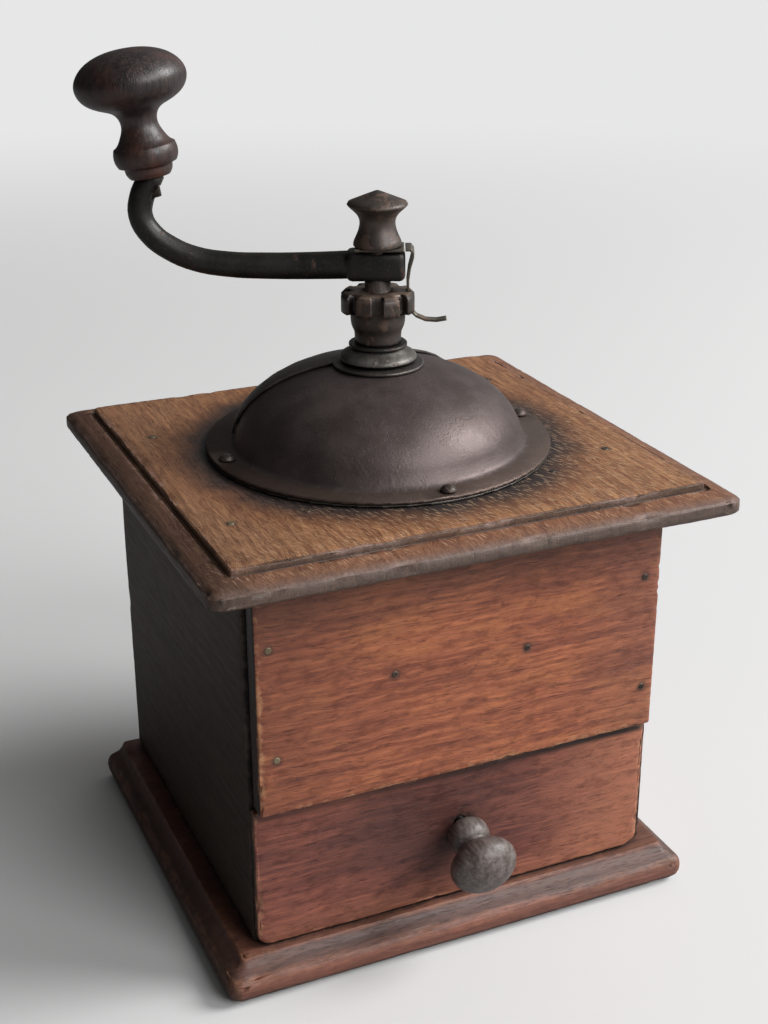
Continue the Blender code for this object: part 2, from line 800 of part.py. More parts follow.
def drawer_box(parent):
    half = DRAWER_BOX_HALF_WIDTH
    inner = half - DRAWER_SIDE_THICKNESS
    back = DRAWER_BOX_BACK
    rim = DRAWER_FLOOR + DRAWER_BOX_HEIGHT
    board(
        "drawer_bottom",
        (-half, DRAWER_BOX_FRONT, DRAWER_FLOOR),
        (half, back, DRAWER_FLOOR + DRAWER_BOTTOM_THICKNESS),
        "inner_wood",
        parent,
    )
    board(
        "drawer_left_side",
        (-half, DRAWER_BOX_FRONT, DRAWER_WALL_FLOOR),
        (-inner, back, rim),
        "inner_wood",
        parent,
    )
    board(
        "drawer_right_side",
        (inner, DRAWER_BOX_FRONT, DRAWER_WALL_FLOOR),
        (half, back, rim),
        "inner_wood",
        parent,
    )
    board(
        "drawer_back",
        (-inner + SEAT_GAP, back - DRAWER_SIDE_THICKNESS, DRAWER_WALL_FLOOR),
        (inner - SEAT_GAP, back, rim),
        "inner_wood",
        parent,
    )


def drawer_knob(axis):
    outline = scaled_outline(
        DRAWER_KNOB_OUTLINE_SHARES, DRAWER_KNOB_RADIUS, DRAWER_KNOB_LENGTH
    )
    seat = SEAT_GAP + max(
        radius * math.sin(DRAWER_KNOB_LEAN) - height * math.cos(DRAWER_KNOB_LEAN)
        for radius, height in outline
    )
    bored = blind_bored(
        outline, KNOB_SCREW_SHANK_RADIUS + SEAT_GAP, DRAWER_KNOB_BORE_DEPTH
    )
    piece = turned("drawer_knob", bored, "knob_wood", axis)
    piece.location = (0, 0, seat)


def drawer_knob_screw(axis):
    through = DRAWER_FRONT_THICKNESS / math.cos(DRAWER_KNOB_LEAN)
    under_head = through + KNOB_SCREW_HEAD_RADIUS * math.tan(DRAWER_KNOB_LEAN) + SEAT_GAP
    head = scaled_outline(
        ROUND_HEAD_SHARES, KNOB_SCREW_HEAD_RADIUS, KNOB_SCREW_HEAD_HEIGHT, under_head
    )
    tip = -KNOB_SCREW_ENGAGEMENT
    shank = [(KNOB_SCREW_SHANK_RADIUS, under_head), (KNOB_SCREW_SHANK_RADIUS, tip), (0, tip)]
    screw = turned("drawer_knob_screw", [*head, *shank], "cast_iron", axis, TINY_STEPS)
    screw.rotation_euler = (math.pi, 0, 0)


# Hopper, dome and cover


def flange_screw_places():
    names = ("right", "back", "left", "front")
    for turn, name in enumerate(names):
        angle = turn * math.pi / 2
        yield (
            "flange_screw_" + name,
            FLANGE_SCREW_CIRCLE * math.cos(angle),
            FLANGE_SCREW_CIRCLE * math.sin(angle),
        )


def burr_screw_places():
    for turn in range(BURR_SCREW_COUNT):
        angle = BURR_SCREW_FIRST_ANGLE + turn * math.tau / BURR_SCREW_COUNT
        yield (
            f"burr_screw_{turn + 1}",
            BURR_SCREW_CIRCLE * math.cos(angle),
            BURR_SCREW_CIRCLE * math.sin(angle),
        )


def hopper_funnel():
    top = FUNNEL_FLANGE_TOP
    floor = FUNNEL_FLOOR + FUNNEL_SHEET
    outline = [
        (FUNNEL_THROAT_RADIUS, floor),
        (FUNNEL_FOOT_RADIUS, floor),
        (FUNNEL_MOUTH_RADIUS, top - FUNNEL_COLLAR_DEPTH),
        (FUNNEL_MOUTH_RADIUS, top - FUNNEL_SHEET),
        (FUNNEL_MOUTH_RADIUS + FUNNEL_SHEET, top),
        (FLANGE_RADIUS, top),
    ]
    surface = spun_surface("hopper_funnel", outline, LARGE_STEPS, lambda centre: True)
    piece = add_piece("hopper_funnel", surface, "dome_iron")
    add_sheet(piece, FUNNEL_SHEET)
    for name, x, y in flange_screw_places():
        drill(
            piece,
            name + "_funnel_cutter",
            FLANGE_SCREW_SHANK_RADIUS + SEAT_GAP,
            (x, y, TOP_SURFACE - CUT_OVERRUN),
            (x, y, FLANGE_TOP + CUT_OVERRUN),
            steps=TINY_STEPS,
        )
    for name, x, y in burr_screw_places():
        drill(
            piece,
            name + "_funnel_cutter",
            BURR_SCREW_SHANK_RADIUS + SEAT_GAP,
            (x, y, FUNNEL_FLOOR - CUT_OVERRUN),
            (x, y, floor + CUT_OVERRUN),
            steps=TINY_STEPS,
        )


def ellipse_rows(radius, rise, base, inner_radius, foot_angle):
    crown_angle = math.acos(inner_radius / radius)
    rows = []
    for row in range(DOME_ROWS + 1):
        angle = crown_angle + (foot_angle - crown_angle) * row / DOME_ROWS
        rows.append((radius * math.cos(angle), base + rise * math.sin(angle)))
    return rows


def in_sector(centre, start, end):
    return start < math.atan2(centre.y, centre.x) % math.tau < end


def dome():
    neck_hole = NECK_SPIGOT_RADIUS + SEAT_GAP
    foot_angle = math.asin(DOME_FILLET / DOME_RISE)
    outline = ellipse_rows(DOME_RADIUS, DOME_RISE, FLANGE_TOP, neck_hole, foot_angle)
    outline += [(DOME_RADIUS + DOME_FILLET, FLANGE_TOP), (FLANGE_RADIUS, FLANGE_TOP)]

    def outside_fill_opening(centre):
        radius = math.hypot(centre.x, centre.y)
        in_band = FILL_OPENING_INNER_RADIUS < radius < FILL_OPENING_OUTER_RADIUS
        return not (in_band and in_sector(centre, FILL_OPENING_START, FILL_OPENING_END))

    surface = spun_surface("dome", outline, DOME_STEPS, outside_fill_opening)
    piece = add_piece("dome", surface, "dome_iron")
    add_sheet(piece, DOME_SHEET)
    for name, x, y in flange_screw_places():
        drill(
            piece,
            name + "_dome_cutter",
            FLANGE_SCREW_SHANK_RADIUS + SEAT_GAP,
            (x, y, TOP_SURFACE),
            (x, y, FLANGE_TOP + CUT_OVERRUN),
            steps=TINY_STEPS,
        )


def flange_screws():
    head_foot = FLANGE_TOP + SEAT_GAP
    head = scaled_outline(
        ROUND_HEAD_SHARES, FLANGE_SCREW_HEAD_RADIUS, FLANGE_SCREW_HEAD_HEIGHT, head_foot
    )
    tip = FLANGE_TOP - FLANGE_SCREW_LENGTH
    shank = [
        (FLANGE_SCREW_SHANK_RADIUS, head_foot),
        (FLANGE_SCREW_SHANK_RADIUS, tip),
        (0, tip),
    ]
    for name, x, y in flange_screw_places():
        screw = turned(name, [*head, *shank], "rusty_iron", steps=TINY_STEPS)
        screw.location = (x, y, 0)


def swing_cover(parent):
    offset = SEAT_GAP + COVER_SHEET
    hub_hole = NECK_SPIGOT_RADIUS + SEAT_GAP
    foot_angle = math.asin(COVER_FOOT_RISE / (DOME_RISE + offset))
    outline = ellipse_rows(
        DOME_RADIUS + offset, DOME_RISE + offset, FLANGE_TOP, hub_hole, foot_angle
    )

    def hub_or_sector(centre):
        radius = math.hypot(centre.x, centre.y)
        return radius < COVER_HUB_RADIUS or in_sector(centre, COVER_START, COVER_END)

    surface = spun_surface("swing_cover", outline, DOME_STEPS, hub_or_sector)
    piece = add_piece("swing_cover", surface, "dome_iron", parent)
    add_sheet(piece, COVER_SHEET)

    middle = (COVER_START + COVER_END) / 2
    level = COVER_KNOB_ELEVATION
    radius = (DOME_RADIUS + offset) * math.cos(level)
    height = FLANGE_TOP + (DOME_RISE + offset) * math.sin(level)
    outward = Vector(
        (math.cos(level) / (DOME_RADIUS + offset), math.sin(level) / (DOME_RISE + offset))
    ).normalized()
    lean = math.atan2(outward.x, outward.y)
    place = (
        Matrix.Rotation(middle, 4, "Z")
        @ Matrix.Translation((radius, 0, height))
        @ Matrix.Rotation(lean, 4, "Y")
    )
    outline = scaled_outline(
        COVER_KNOB_OUTLINE_SHARES, COVER_KNOB_RADIUS, COVER_KNOB_LENGTH, SEAT_GAP
    )
    tail = -COVER_SHEET
    stem = [
        (COVER_KNOB_STEM_RADIUS, SEAT_GAP),
        (COVER_KNOB_STEM_RADIUS, tail),
        (0, tail),
    ]
    knob = turned("cover_knob", [*outline, *stem], "dome_iron", parent, SMALL_STEPS)
    knob.matrix_basis = place
    hole = rod_mesh(
        "cover_knob_cutter",
        COVER_KNOB_STEM_RADIUS + SEAT_GAP,
        (0, 0, -COVER_SHEET - CUT_OVERRUN),
        (0, 0, CUT_OVERRUN),
        TINY_STEPS,
    )
    cutter = add_cutter("cover_knob_cutter", hole, parent)
    cutter.matrix_basis = place
    boolean(piece, cutter)


def neck_bush():
    bore = SPINDLE_RADIUS + SEAT_GAP
    spigot_foot = NECK_SEAT - NECK_SPIGOT_DEPTH
    outline = [
        (bore, NECK_TOP),
        (NECK_TOP_RADIUS, NECK_TOP),
        (NECK_TOP_RADIUS + (NECK_COLLAR_RADIUS - NECK_TOP_RADIUS) / 3, NECK_TOP - NECK_HEIGHT / 2),
        (NECK_COLLAR_RADIUS, NECK_SEAT + NECK_HEIGHT / 6),
        (NECK_COLLAR_RADIUS, NECK_SEAT),
        (NECK_SPIGOT_RADIUS, NECK_SEAT),
        (NECK_SPIGOT_RADIUS, spigot_foot),
        (NECK_RIVET_RADIUS, spigot_foot),
        (NECK_SPIGOT_RADIUS, spigot_foot - NECK_RIVET_HEIGHT),
        (bore, spigot_foot - NECK_RIVET_HEIGHT),
    ]
    turned("neck_bush", outline, "cast_iron", closed=True)


# Grinding works


def toothed_ring(height, tip, depth, coarse, twist, outward):
    ring = []
    for point in range(BURR_TOOTH_POINTS):
        coarse_step = point % BURR_COARSE_PITCH_POINTS / (BURR_COARSE_PITCH_POINTS - 1)
        fine_step = point % BURR_FINE_PITCH_POINTS / (BURR_FINE_PITCH_POINTS - 1)
        step = coarse * coarse_step + (1 - coarse) * fine_step
        radius = tip - outward * depth * step
        angle = twist + point * math.tau / BURR_TOOTH_POINTS
        ring.append((radius * math.cos(angle), radius * math.sin(angle), height))
    return ring


def toothed_rings(foot, height, radius, twist, shares, outward):
    rings = []
    for height_share, tip_share, depth_share, coarse in shares:
        rings.append(
            toothed_ring(
                foot + height * height_share,
                radius * tip_share,
                radius * depth_share,
                coarse,
                twist * height_share,
                outward,
            )
        )
    return rings


def ring_burr():
    body = rod_mesh(
        "ring_burr",
        RING_BURR_RADIUS,
        (0, 0, RING_BURR_FOOT),
        (0, 0, RING_BURR_TOP),
        LARGE_STEPS,
    )
    piece = add_piece("ring_burr", body, "burr_steel")
    rings = toothed_rings(
        RING_BURR_FOOT,
        RING_BURR_HEIGHT,
        RING_BURR_MOUTH_RADIUS,
        RING_BURR_TWIST,
        RING_BURR_SHARES,
        -1,
    )
    below = [(x, y, RING_BURR_FOOT - CUT_OVERRUN) for x, y, height in rings[0]]
    above = [(x, y, RING_BURR_TOP + CUT_OVERRUN) for x, y, height in rings[-1]]
    mouth = loft("burr_mouth_cutter", [below, *rings, above])
    boolean(piece, add_cutter("burr_mouth_cutter", mouth))
    for name, x, y in burr_screw_places():
        drill(
            piece,
            name + "_burr_cutter",
            BURR_SCREW_SHANK_RADIUS + SEAT_GAP,
            (x, y, FUNNEL_FLOOR + FUNNEL_SHEET - BURR_SCREW_LENGTH - SEAT_GAP),
            (x, y, RING_BURR_TOP + CUT_OVERRUN),
            steps=TINY_STEPS,
        )
    for name, x in bridge_screw_places():
        drill(
            piece,
            name + "_burr_cutter",
            BRIDGE_SCREW_SHANK_RADIUS + SEAT_GAP,
            (x, 0, RING_BURR_FOOT - CUT_OVERRUN),
            (x, 0, bridge_screw_tip() + SEAT_GAP),
            steps=TINY_STEPS,
        )


def burr_screws():
    head_foot = FUNNEL_FLOOR + FUNNEL_SHEET + SEAT_GAP
    head = scaled_outline(
        ROUND_HEAD_SHARES, BURR_SCREW_HEAD_RADIUS, BURR_SCREW_HEAD_HEIGHT, head_foot
    )
    tip = FUNNEL_FLOOR + FUNNEL_SHEET - BURR_SCREW_LENGTH
    shank = [
        (BURR_SCREW_SHANK_RADIUS, head_foot),
        (BURR_SCREW_SHANK_RADIUS, tip),
        (0, tip),
    ]
    for name, x, y in burr_screw_places():
        screw = turned(name, [*head, *shank], "cast_iron", steps=TINY_STEPS)
        screw.location = (x, y, 0)


def cone_burr(parent):
    rings = toothed_rings(
        CONE_BURR_FOOT,
        CONE_BURR_HEIGHT,
        CONE_BURR_RADIUS,
        CONE_BURR_TWIST,
        CONE_BURR_SHARES,
        1,
    )
    piece = add_piece(
        "cone_burr", loft("cone_burr", rings), "burr_steel", parent
    )
    drill(
        piece,
        "cone_burr_cutter",
        SPINDLE_RADIUS + SEAT_GAP,
        (0, 0, CONE_BURR_FOOT - CUT_OVERRUN),
        (0, 0, CONE_BURR_TOP + CUT_OVERRUN),
        parent,
    )


def burr_nut(parent):
    bm = bmesh.new()
    bmesh.ops.create_cone(
        bm,
        cap_ends=True,
        segments=6,
        radius1=BURR_NUT_RADIUS,
        radius2=BURR_NUT_RADIUS,
        depth=BURR_NUT_HEIGHT,
    )
    middle = BURR_NUT_TOP - BURR_NUT_HEIGHT / 2
    bmesh.ops.translate(bm, vec=(0, 0, middle), verts=bm.verts)
    piece = add_piece("burr_nut", mesh_from(bm, "burr_nut"), "cast_iron", parent)
    drill(
        piece,
        "burr_nut_cutter",
        SPINDLE_RADIUS + SEAT_GAP,
        (0, 0, BURR_NUT_TOP - BURR_NUT_HEIGHT - CUT_OVERRUN),
        (0, 0, BURR_NUT_TOP + CUT_OVERRUN),
        parent,
    )


def bridge_screw_places():
    return (
        ("bridge_screw_left", -BRIDGE_SCREW_CIRCLE),
        ("bridge_screw_right", BRIDGE_SCREW_CIRCLE),
    )


def bridge_screw_tip():
    return BRIDGE_FOOT_LEVEL - BRIDGE_SHEET / 2 - SEAT_GAP + BRIDGE_SCREW_LENGTH


def bearing_bridge():
    half_path = [
        (BRIDGE_LEG_FOOT, BRIDGE_BAR_LEVEL),
        (BRIDGE_FOOT_BEND, BRIDGE_FOOT_LEVEL),
        (BRIDGE_FOOT_END, BRIDGE_FOOT_LEVEL),
    ]
    path = [(-across, level) for across, level in reversed(half_path)] + half_path
    mesh = strap_mesh("bearing_bridge", path, BRIDGE_SHEET, BRIDGE_WIDTH)
    piece = add_piece("bearing_bridge", mesh, "cast_iron")
    boss_top = BRIDGE_BOSS_FOOT + BRIDGE_BOSS_HEIGHT
    boss = add_cutter(
        "bridge_boss_guide",
        rod_mesh(
            "bridge_boss_guide",
            BRIDGE_BOSS_RADIUS,
            (0, 0, BRIDGE_BOSS_FOOT),
            (0, 0, boss_top),
            MIDDLE_STEPS,
        ),
    )
    boolean(piece, boss, "UNION")
    drill(
        piece,
        "bridge_bearing_cutter",
        SPINDLE_FOOT_RADIUS + SEAT_GAP,
        (0, 0, BRIDGE_BOSS_FOOT - CUT_OVERRUN),
        (0, 0, boss_top + CUT_OVERRUN),
    )
    for name, x in bridge_screw_places():
        drill(
            piece,
            name + "_bridge_cutter",
            BRIDGE_SCREW_SHANK_RADIUS + SEAT_GAP,
            (x, 0, BRIDGE_FOOT_LEVEL - BRIDGE_SHEET / 2 - CUT_OVERRUN),
            (x, 0, BRIDGE_FOOT_LEVEL + BRIDGE_SHEET / 2 + CUT_OVERRUN),
            steps=TINY_STEPS,
        )
        add_bridge_screw(name, x)


def add_bridge_screw(name, x):
    under = BRIDGE_FOOT_LEVEL - BRIDGE_SHEET / 2 - SEAT_GAP
    outline = [
        (0, bridge_screw_tip()),
        (BRIDGE_SCREW_SHANK_RADIUS, bridge_screw_tip()),
        (BRIDGE_SCREW_SHANK_RADIUS, under),
    ]
    for across, up in reversed(ROUND_HEAD_SHARES):
        outline.append(
            (BRIDGE_SCREW_HEAD_RADIUS * across, under - BRIDGE_SCREW_HEAD_HEIGHT * up)
        )
    screw = turned(name, outline, "cast_iron", steps=TINY_STEPS)
    screw.location = (x, 0, 0)


# Crank and what turns with it


def spindle(parent):
    top = CAP_FOOT + SPINDLE_THREAD_IN_CAP
    shoulder_foot = CONE_BURR_TOP + SEAT_GAP
    shoulder_top = shoulder_foot + SPINDLE_SHOULDER_HEIGHT
    journal_top = BURR_NUT_TOP - BURR_NUT_HEIGHT - SEAT_GAP
    outline = [
        (0, top),
        (SPINDLE_TOP_RADIUS - SPINDLE_END_CHAMFER, top),
        (SPINDLE_TOP_RADIUS, top - SPINDLE_END_CHAMFER),
        (SPINDLE_TOP_RADIUS, NECK_TOP),
        (SPINDLE_RADIUS, NECK_TOP),
        (SPINDLE_RADIUS, shoulder_top),
        (SPINDLE_SHOULDER_RADIUS, shoulder_top),
        (SPINDLE_SHOULDER_RADIUS, shoulder_foot),
        (SPINDLE_RADIUS, shoulder_foot),
        (SPINDLE_RADIUS, journal_top),
        (SPINDLE_FOOT_RADIUS, journal_top),
        (SPINDLE_FOOT_RADIUS, SPINDLE_FOOT + SPINDLE_END_CHAMFER),
        (SPINDLE_FOOT_RADIUS - SPINDLE_END_CHAMFER, SPINDLE_FOOT),
        (0, SPINDLE_FOOT),
    ]
    turned("spindle", outline, "crank_iron", parent, SMALL_STEPS)


def thrust_washer(parent):
    foot = NECK_TOP + SEAT_GAP
    top = foot + WASHER_THICKNESS
    bore = SPINDLE_RADIUS + SEAT_GAP
    outline = [(bore, top), (WASHER_RADIUS, top), (WASHER_RADIUS, foot), (bore, foot)]
    turned("thrust_washer", outline, "dome_iron", parent, closed=True)


def adjusting_nut(parent):
    crown_foot = NUT_TOP - NUT_CROWN_HEIGHT
    body_height = crown_foot - NUT_FOOT
    outline = [
        (NUT_CROWN_RADIUS - NUT_CROWN_CHAMFER, NUT_TOP),
        (NUT_CROWN_RADIUS, NUT_TOP - NUT_CROWN_CHAMFER),
        (NUT_CROWN_RADIUS, crown_foot),
        (NUT_BARREL_RADIUS, crown_foot),
        (NUT_BARREL_RADIUS, NUT_FOOT + body_height * 0.62),
        ((NUT_BARREL_RADIUS + NUT_FOOT_RADIUS) / 2, NUT_FOOT + body_height * 0.45),
        (NUT_FOOT_RADIUS, NUT_FOOT + body_height * 0.34),
        (NUT_FOOT_RADIUS, NUT_FOOT),
    ]
    bored = through_bored(outline, SPINDLE_TOP_RADIUS + SEAT_GAP)
    piece = turned("adjusting_nut", bored, "crank_iron", parent, closed=True)
    bm = bmesh.new()
    far = NUT_CROWN_RADIUS + CUT_OVERRUN
    for notch in range(NUT_NOTCH_COUNT):
        made = bmesh.ops.create_cube(bm, size=1)["verts"]
        size = (far - NUT_NOTCH_FLOOR, NUT_NOTCH_WIDTH, NUT_CROWN_HEIGHT + 2 * CUT_OVERRUN)
        bmesh.ops.scale(bm, vec=size, verts=made)
        middle = ((far + NUT_NOTCH_FLOOR) / 2, 0, crown_foot + NUT_CROWN_HEIGHT / 2)
        bmesh.ops.translate(bm, vec=middle, verts=made)
        turn = Matrix.Rotation(notch * math.tau / NUT_NOTCH_COUNT, 3, "Z")
        bmesh.ops.rotate(bm, cent=(0, 0, 0), matrix=turn, verts=made)
    cutter = add_cutter("notch_cutter", mesh_from(bm, "notch_cutter"), parent)
    boolean(piece, cutter)


def crank_arm(parent):
    curve = bpy.data.curves.new("crank_arm_path", "CURVE")
    curve.dimensions = "3D"
    curve.bevel_depth = ARM_HUB_SECTION_RADIUS
    curve.bevel_resolution = 4
    curve.use_fill_caps = True
    spline = curve.splines.new("BEZIER")
    lean = Vector((math.sin(KNOB_LEAN), 0, math.cos(KNOB_LEAN)))
    end = knob_seat() - lean * SEAT_GAP
    points = [
        (Vector((ARM_REACH * across, 0, HUB_MIDDLE + ARM_RISE * up)), radius)
        for across, up, radius in ARM_OUTLINE_SHARES
    ]
    spline.bezier_points.add(len(points) - 1)
    spline.resolution_u = 4
    for knot, (place, radius) in zip(spline.bezier_points, points):
        knot.co = place
        knot.radius = radius
        knot.handle_left_type = "AUTO"
        knot.handle_right_type = "AUTO"
    holder = bpy.data.objects.new("crank_arm_path", curve)
    bpy.data.collections[COLLECTION_NAME].objects.link(holder)
    bar = add_cutter("arm_bar_guide", meshed(holder), parent)

    hub = box_mesh(
        "crank_arm",
        (-HUB_TAIL, -HUB_WIDTH / 2, HUB_FOOT),
        (HUB_REACH, HUB_WIDTH / 2, HUB_TOP),
    )
    piece = add_piece("crank_arm", hub, "crank_iron", parent)
    bevel = piece.modifiers.new("rounded_hub", "BEVEL")
    bevel.width = HUB_EDGE_RADIUS
    bevel.segments = 3
    boolean(piece, bar, "UNION")
    drill(
        piece,
        "arm_eye_cutter",
        SPINDLE_TOP_RADIUS + SEAT_GAP,
        (0, 0, HUB_FOOT - CUT_OVERRUN),
        (0, 0, HUB_TOP + CUT_OVERRUN),
        parent,
    )
    drill(
        piece,
        "arm_end_cutter",
        CRANK_KNOB_RADIUS / 2,
        end,
        end + lean * HUB_HEIGHT,
        parent,
    )
    drill(
        piece,
        "arm_pin_cutter",
        KNOB_PIN_RADIUS + SEAT_GAP,
        end - lean * (KNOB_PIN_IN_ARM + SEAT_GAP),
        end + lean * CUT_OVERRUN,
        parent,
    )


def knob_seat():
    return Vector((ARM_REACH, 0, HUB_MIDDLE + ARM_RISE))


def crank_knob(axis):
    outline = scaled_outline(
        CRANK_KNOB_OUTLINE_SHARES, CRANK_KNOB_RADIUS, CRANK_KNOB_HEIGHT
    )
    bored = blind_bored(outline, KNOB_PIN_RADIUS + SEAT_GAP, CRANK_KNOB_BORE_DEPTH)
    turned("crank_knob", bored, "knob_wood", axis)


def knob_pin(parent):
    lean = Vector((math.sin(KNOB_LEAN), 0, math.cos(KNOB_LEAN)))
    foot = knob_seat() - lean * (SEAT_GAP + KNOB_PIN_IN_ARM)
    head = knob_seat() + lean * KNOB_PIN_IN_KNOB
    mesh = rod_mesh("knob_pin", KNOB_PIN_RADIUS, foot, head, SMALL_STEPS)
    add_piece("knob_pin", mesh, "crank_iron", parent)


def cap_nut(parent):
    outline = scaled_outline(CAP_OUTLINE_SHARES, CAP_RADIUS, CAP_HEIGHT, CAP_FOOT)
    bore = SPINDLE_TOP_RADIUS + SEAT_GAP
    bored = blind_bored(outline, bore, SPINDLE_THREAD_IN_CAP + SEAT_GAP)
    turned("cap_nut", bored, "rusty_iron", parent)


def catch_hinge_place():
    return (-HUB_TAIL, 0, CATCH_LEVEL)


def catch_clip(parent):
    path = [(CLIP_TAIL, CATCH_LEVEL), (-HUB_TAIL + SEAT_GAP, CATCH_LEVEL)]
    mesh = strap_mesh("catch_clip", path, CATCH_SHEET, HUB_WIDTH)
    piece = add_piece("catch_clip", mesh, "spring_steel", parent)
    drill(
        piece,
        "clip_eye_cutter",
        SPINDLE_TOP_RADIUS + SEAT_GAP,
        (0, 0, CATCH_LEVEL - CATCH_SHEET),
        (0, 0, CATCH_LEVEL + CATCH_SHEET),
        parent,
    )


def catch_tongue(hinge):
    half = CATCH_SHEET / 2
    beside_hub = SEAT_GAP + half
    notch_line = NUT_NOTCH_FLOOR + SEAT_GAP + half - HUB_TAIL
    crown_foot = CATCH_LEVEL - (NUT_TOP - NUT_CROWN_HEIGHT)
    crown_top = CATCH_LEVEL - NUT_TOP
    hub_foot = CATCH_LEVEL - HUB_FOOT
    path = [
        (0, 0),
        (-beside_hub - CATCH_BULGE * 0.55, 0),
        (-beside_hub - CATCH_BULGE, -HUB_HEIGHT * 0.10),
        (-beside_hub - CATCH_BULGE * 0.95, -HUB_HEIGHT * 0.28),
        (-beside_hub - CATCH_BULGE * 0.35, -HUB_HEIGHT * 0.65),
        (-beside_hub, -hub_foot),
        (-notch_line, -crown_top),
        (-notch_line, -(crown_top + crown_foot) / 2),
        (-notch_line - CATCH_TIP_REACH * 0.06, -crown_foot),
        (-notch_line - CATCH_TIP_REACH * 0.22, -crown_foot - CATCH_TIP_DROP * 0.55),
        (-notch_line - CATCH_TIP_REACH * 0.46, -crown_foot - CATCH_TIP_DROP * 0.93),
        (-notch_line - CATCH_TIP_REACH * 0.74, -crown_foot - CATCH_TIP_DROP),
        (-notch_line - CATCH_TIP_REACH, -crown_foot - CATCH_TIP_DROP * 0.84),
    ]
    mesh = strap_mesh("catch_tongue", path, CATCH_SHEET, CATCH_WIDTH)
    narrow = CATCH_TONGUE_WIDTH / CATCH_WIDTH
    for vert in mesh.vertices:
        down = min(max(-vert.co.z / crown_top, 0), 1)
        vert.co.y *= 1 + (narrow - 1) * down
    add_piece("catch_tongue", mesh, "spring_steel", hinge)


def build():
    clear_scene()
    new_collection(COLLECTION_NAME)
    new_collection(CUTTER_COLLECTION_NAME)

    base_board()
    side_board("left_side_board", -1)
    side_board("right_side_board", 1)
    back_board()
    front_board()
    top_board()

    drawer_slide = add_axis("drawer_slide")
    knob_axis = add_axis(
        "drawer_knob_axis",
        (DRAWER_KNOB_OFFSET, DRAWER_PLANE, DRAWER_KNOB_HEIGHT),
        (math.pi / 2 + DRAWER_KNOB_LEAN, 0, 0),
        drawer_slide,
    )
    drawer_front(drawer_slide, knob_axis)
    drawer_box(drawer_slide)
    drawer_knob(knob_axis)
    drawer_knob_screw(knob_axis)

    hopper_funnel()
    dome()
    flange_screws()
    neck_bush()
    swing_cover(add_axis("cover_axis"))

    ring_burr()
    burr_screws()
    bearing_bridge()

    crank_axis = add_axis("crank_axis", rotation=(0, 0, CRANK_ANGLE))
    spindle(crank_axis)
    cone_burr(crank_axis)
    burr_nut(crank_axis)
    thrust_washer(crank_axis)
    adjusting_nut(crank_axis)
    crank_arm(crank_axis)
    cap_nut(crank_axis)
    knob_pin(crank_axis)
    catch_clip(crank_axis)
    catch_tongue(add_axis("catch_hinge", catch_hinge_place(), parent=crank_axis))
    crank_knob(
        add_axis("crank_knob_axis", knob_seat(), (0, KNOB_LEAN, 0), crank_axis)
    )


build()
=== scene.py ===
import json
import math

import bmesh
import bpy
from mathutils import Matrix, Vector, kdtree, noise

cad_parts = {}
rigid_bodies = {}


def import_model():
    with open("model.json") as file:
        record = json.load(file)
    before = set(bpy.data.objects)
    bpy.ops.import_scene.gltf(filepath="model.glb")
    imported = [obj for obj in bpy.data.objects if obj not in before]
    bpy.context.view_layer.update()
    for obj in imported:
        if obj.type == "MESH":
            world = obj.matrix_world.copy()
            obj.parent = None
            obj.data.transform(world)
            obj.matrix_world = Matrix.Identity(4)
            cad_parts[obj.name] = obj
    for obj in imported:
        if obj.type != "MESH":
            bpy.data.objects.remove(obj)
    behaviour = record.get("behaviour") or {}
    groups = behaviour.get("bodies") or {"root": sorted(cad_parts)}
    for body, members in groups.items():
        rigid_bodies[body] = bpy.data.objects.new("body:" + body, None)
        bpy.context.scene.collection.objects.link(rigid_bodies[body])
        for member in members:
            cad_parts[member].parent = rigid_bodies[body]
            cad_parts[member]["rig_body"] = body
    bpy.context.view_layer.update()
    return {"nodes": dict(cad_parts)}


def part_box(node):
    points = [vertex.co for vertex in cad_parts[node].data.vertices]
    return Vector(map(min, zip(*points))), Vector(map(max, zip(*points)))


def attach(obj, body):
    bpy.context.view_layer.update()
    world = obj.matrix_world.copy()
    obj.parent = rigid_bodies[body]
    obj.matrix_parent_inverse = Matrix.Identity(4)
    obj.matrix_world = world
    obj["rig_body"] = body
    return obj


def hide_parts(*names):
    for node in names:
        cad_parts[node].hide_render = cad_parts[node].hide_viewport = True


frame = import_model()
nodes = frame["nodes"]
millimetre = 0.001


# Small helpers for node trees

def addNode(tree, kind, sockets=None, **settings):
    made = tree.nodes.new(kind)
    for key, value in settings.items():
        setattr(made, key, value)
    for key, value in (sockets or {}).items():
        socket = made.inputs[key]
        if isinstance(value, bpy.types.NodeSocket):
            tree.links.new(value, socket)
        else:
            socket.default_value = value
    return made


def calc(tree, operation, first, second=0.0, clamp=False):
    made = addNode(tree, "ShaderNodeMath", {0: first, 1: second}, operation=operation)
    made.use_clamp = clamp
    return made.outputs[0]


def fade(tree, value, low, high, start=0.0, end=1.0):
    # start below low, end above high, a smooth step between them
    sockets = {"Value": value, "From Min": low, "From Max": high, "To Min": start, "To Max": end}
    made = addNode(tree, "ShaderNodeMapRange", sockets, interpolation_type="SMOOTHSTEP")
    return made.outputs["Result"]


def reached(tree, value, reach):
    # 0 to 1 over the reach, or 1 to 0 where the reach is given high to low
    low, high = reach
    if low < high:
        return fade(tree, value, low, high)
    return fade(tree, value, high, low, 1.0, 0.0)


def mixed(tree, share, first, second, blend="MIX"):
    made = addNode(tree, "ShaderNodeMix", data_type="RGBA", blend_type=blend)
    for index, value in ((0, share), (6, first), (7, second)):
        if isinstance(value, bpy.types.NodeSocket):
            tree.links.new(value, made.inputs[index])
        elif index == 0:
            made.inputs[index].default_value = value
        else:
            made.inputs[index].default_value = (*value, 1.0)
    return made.outputs[2]


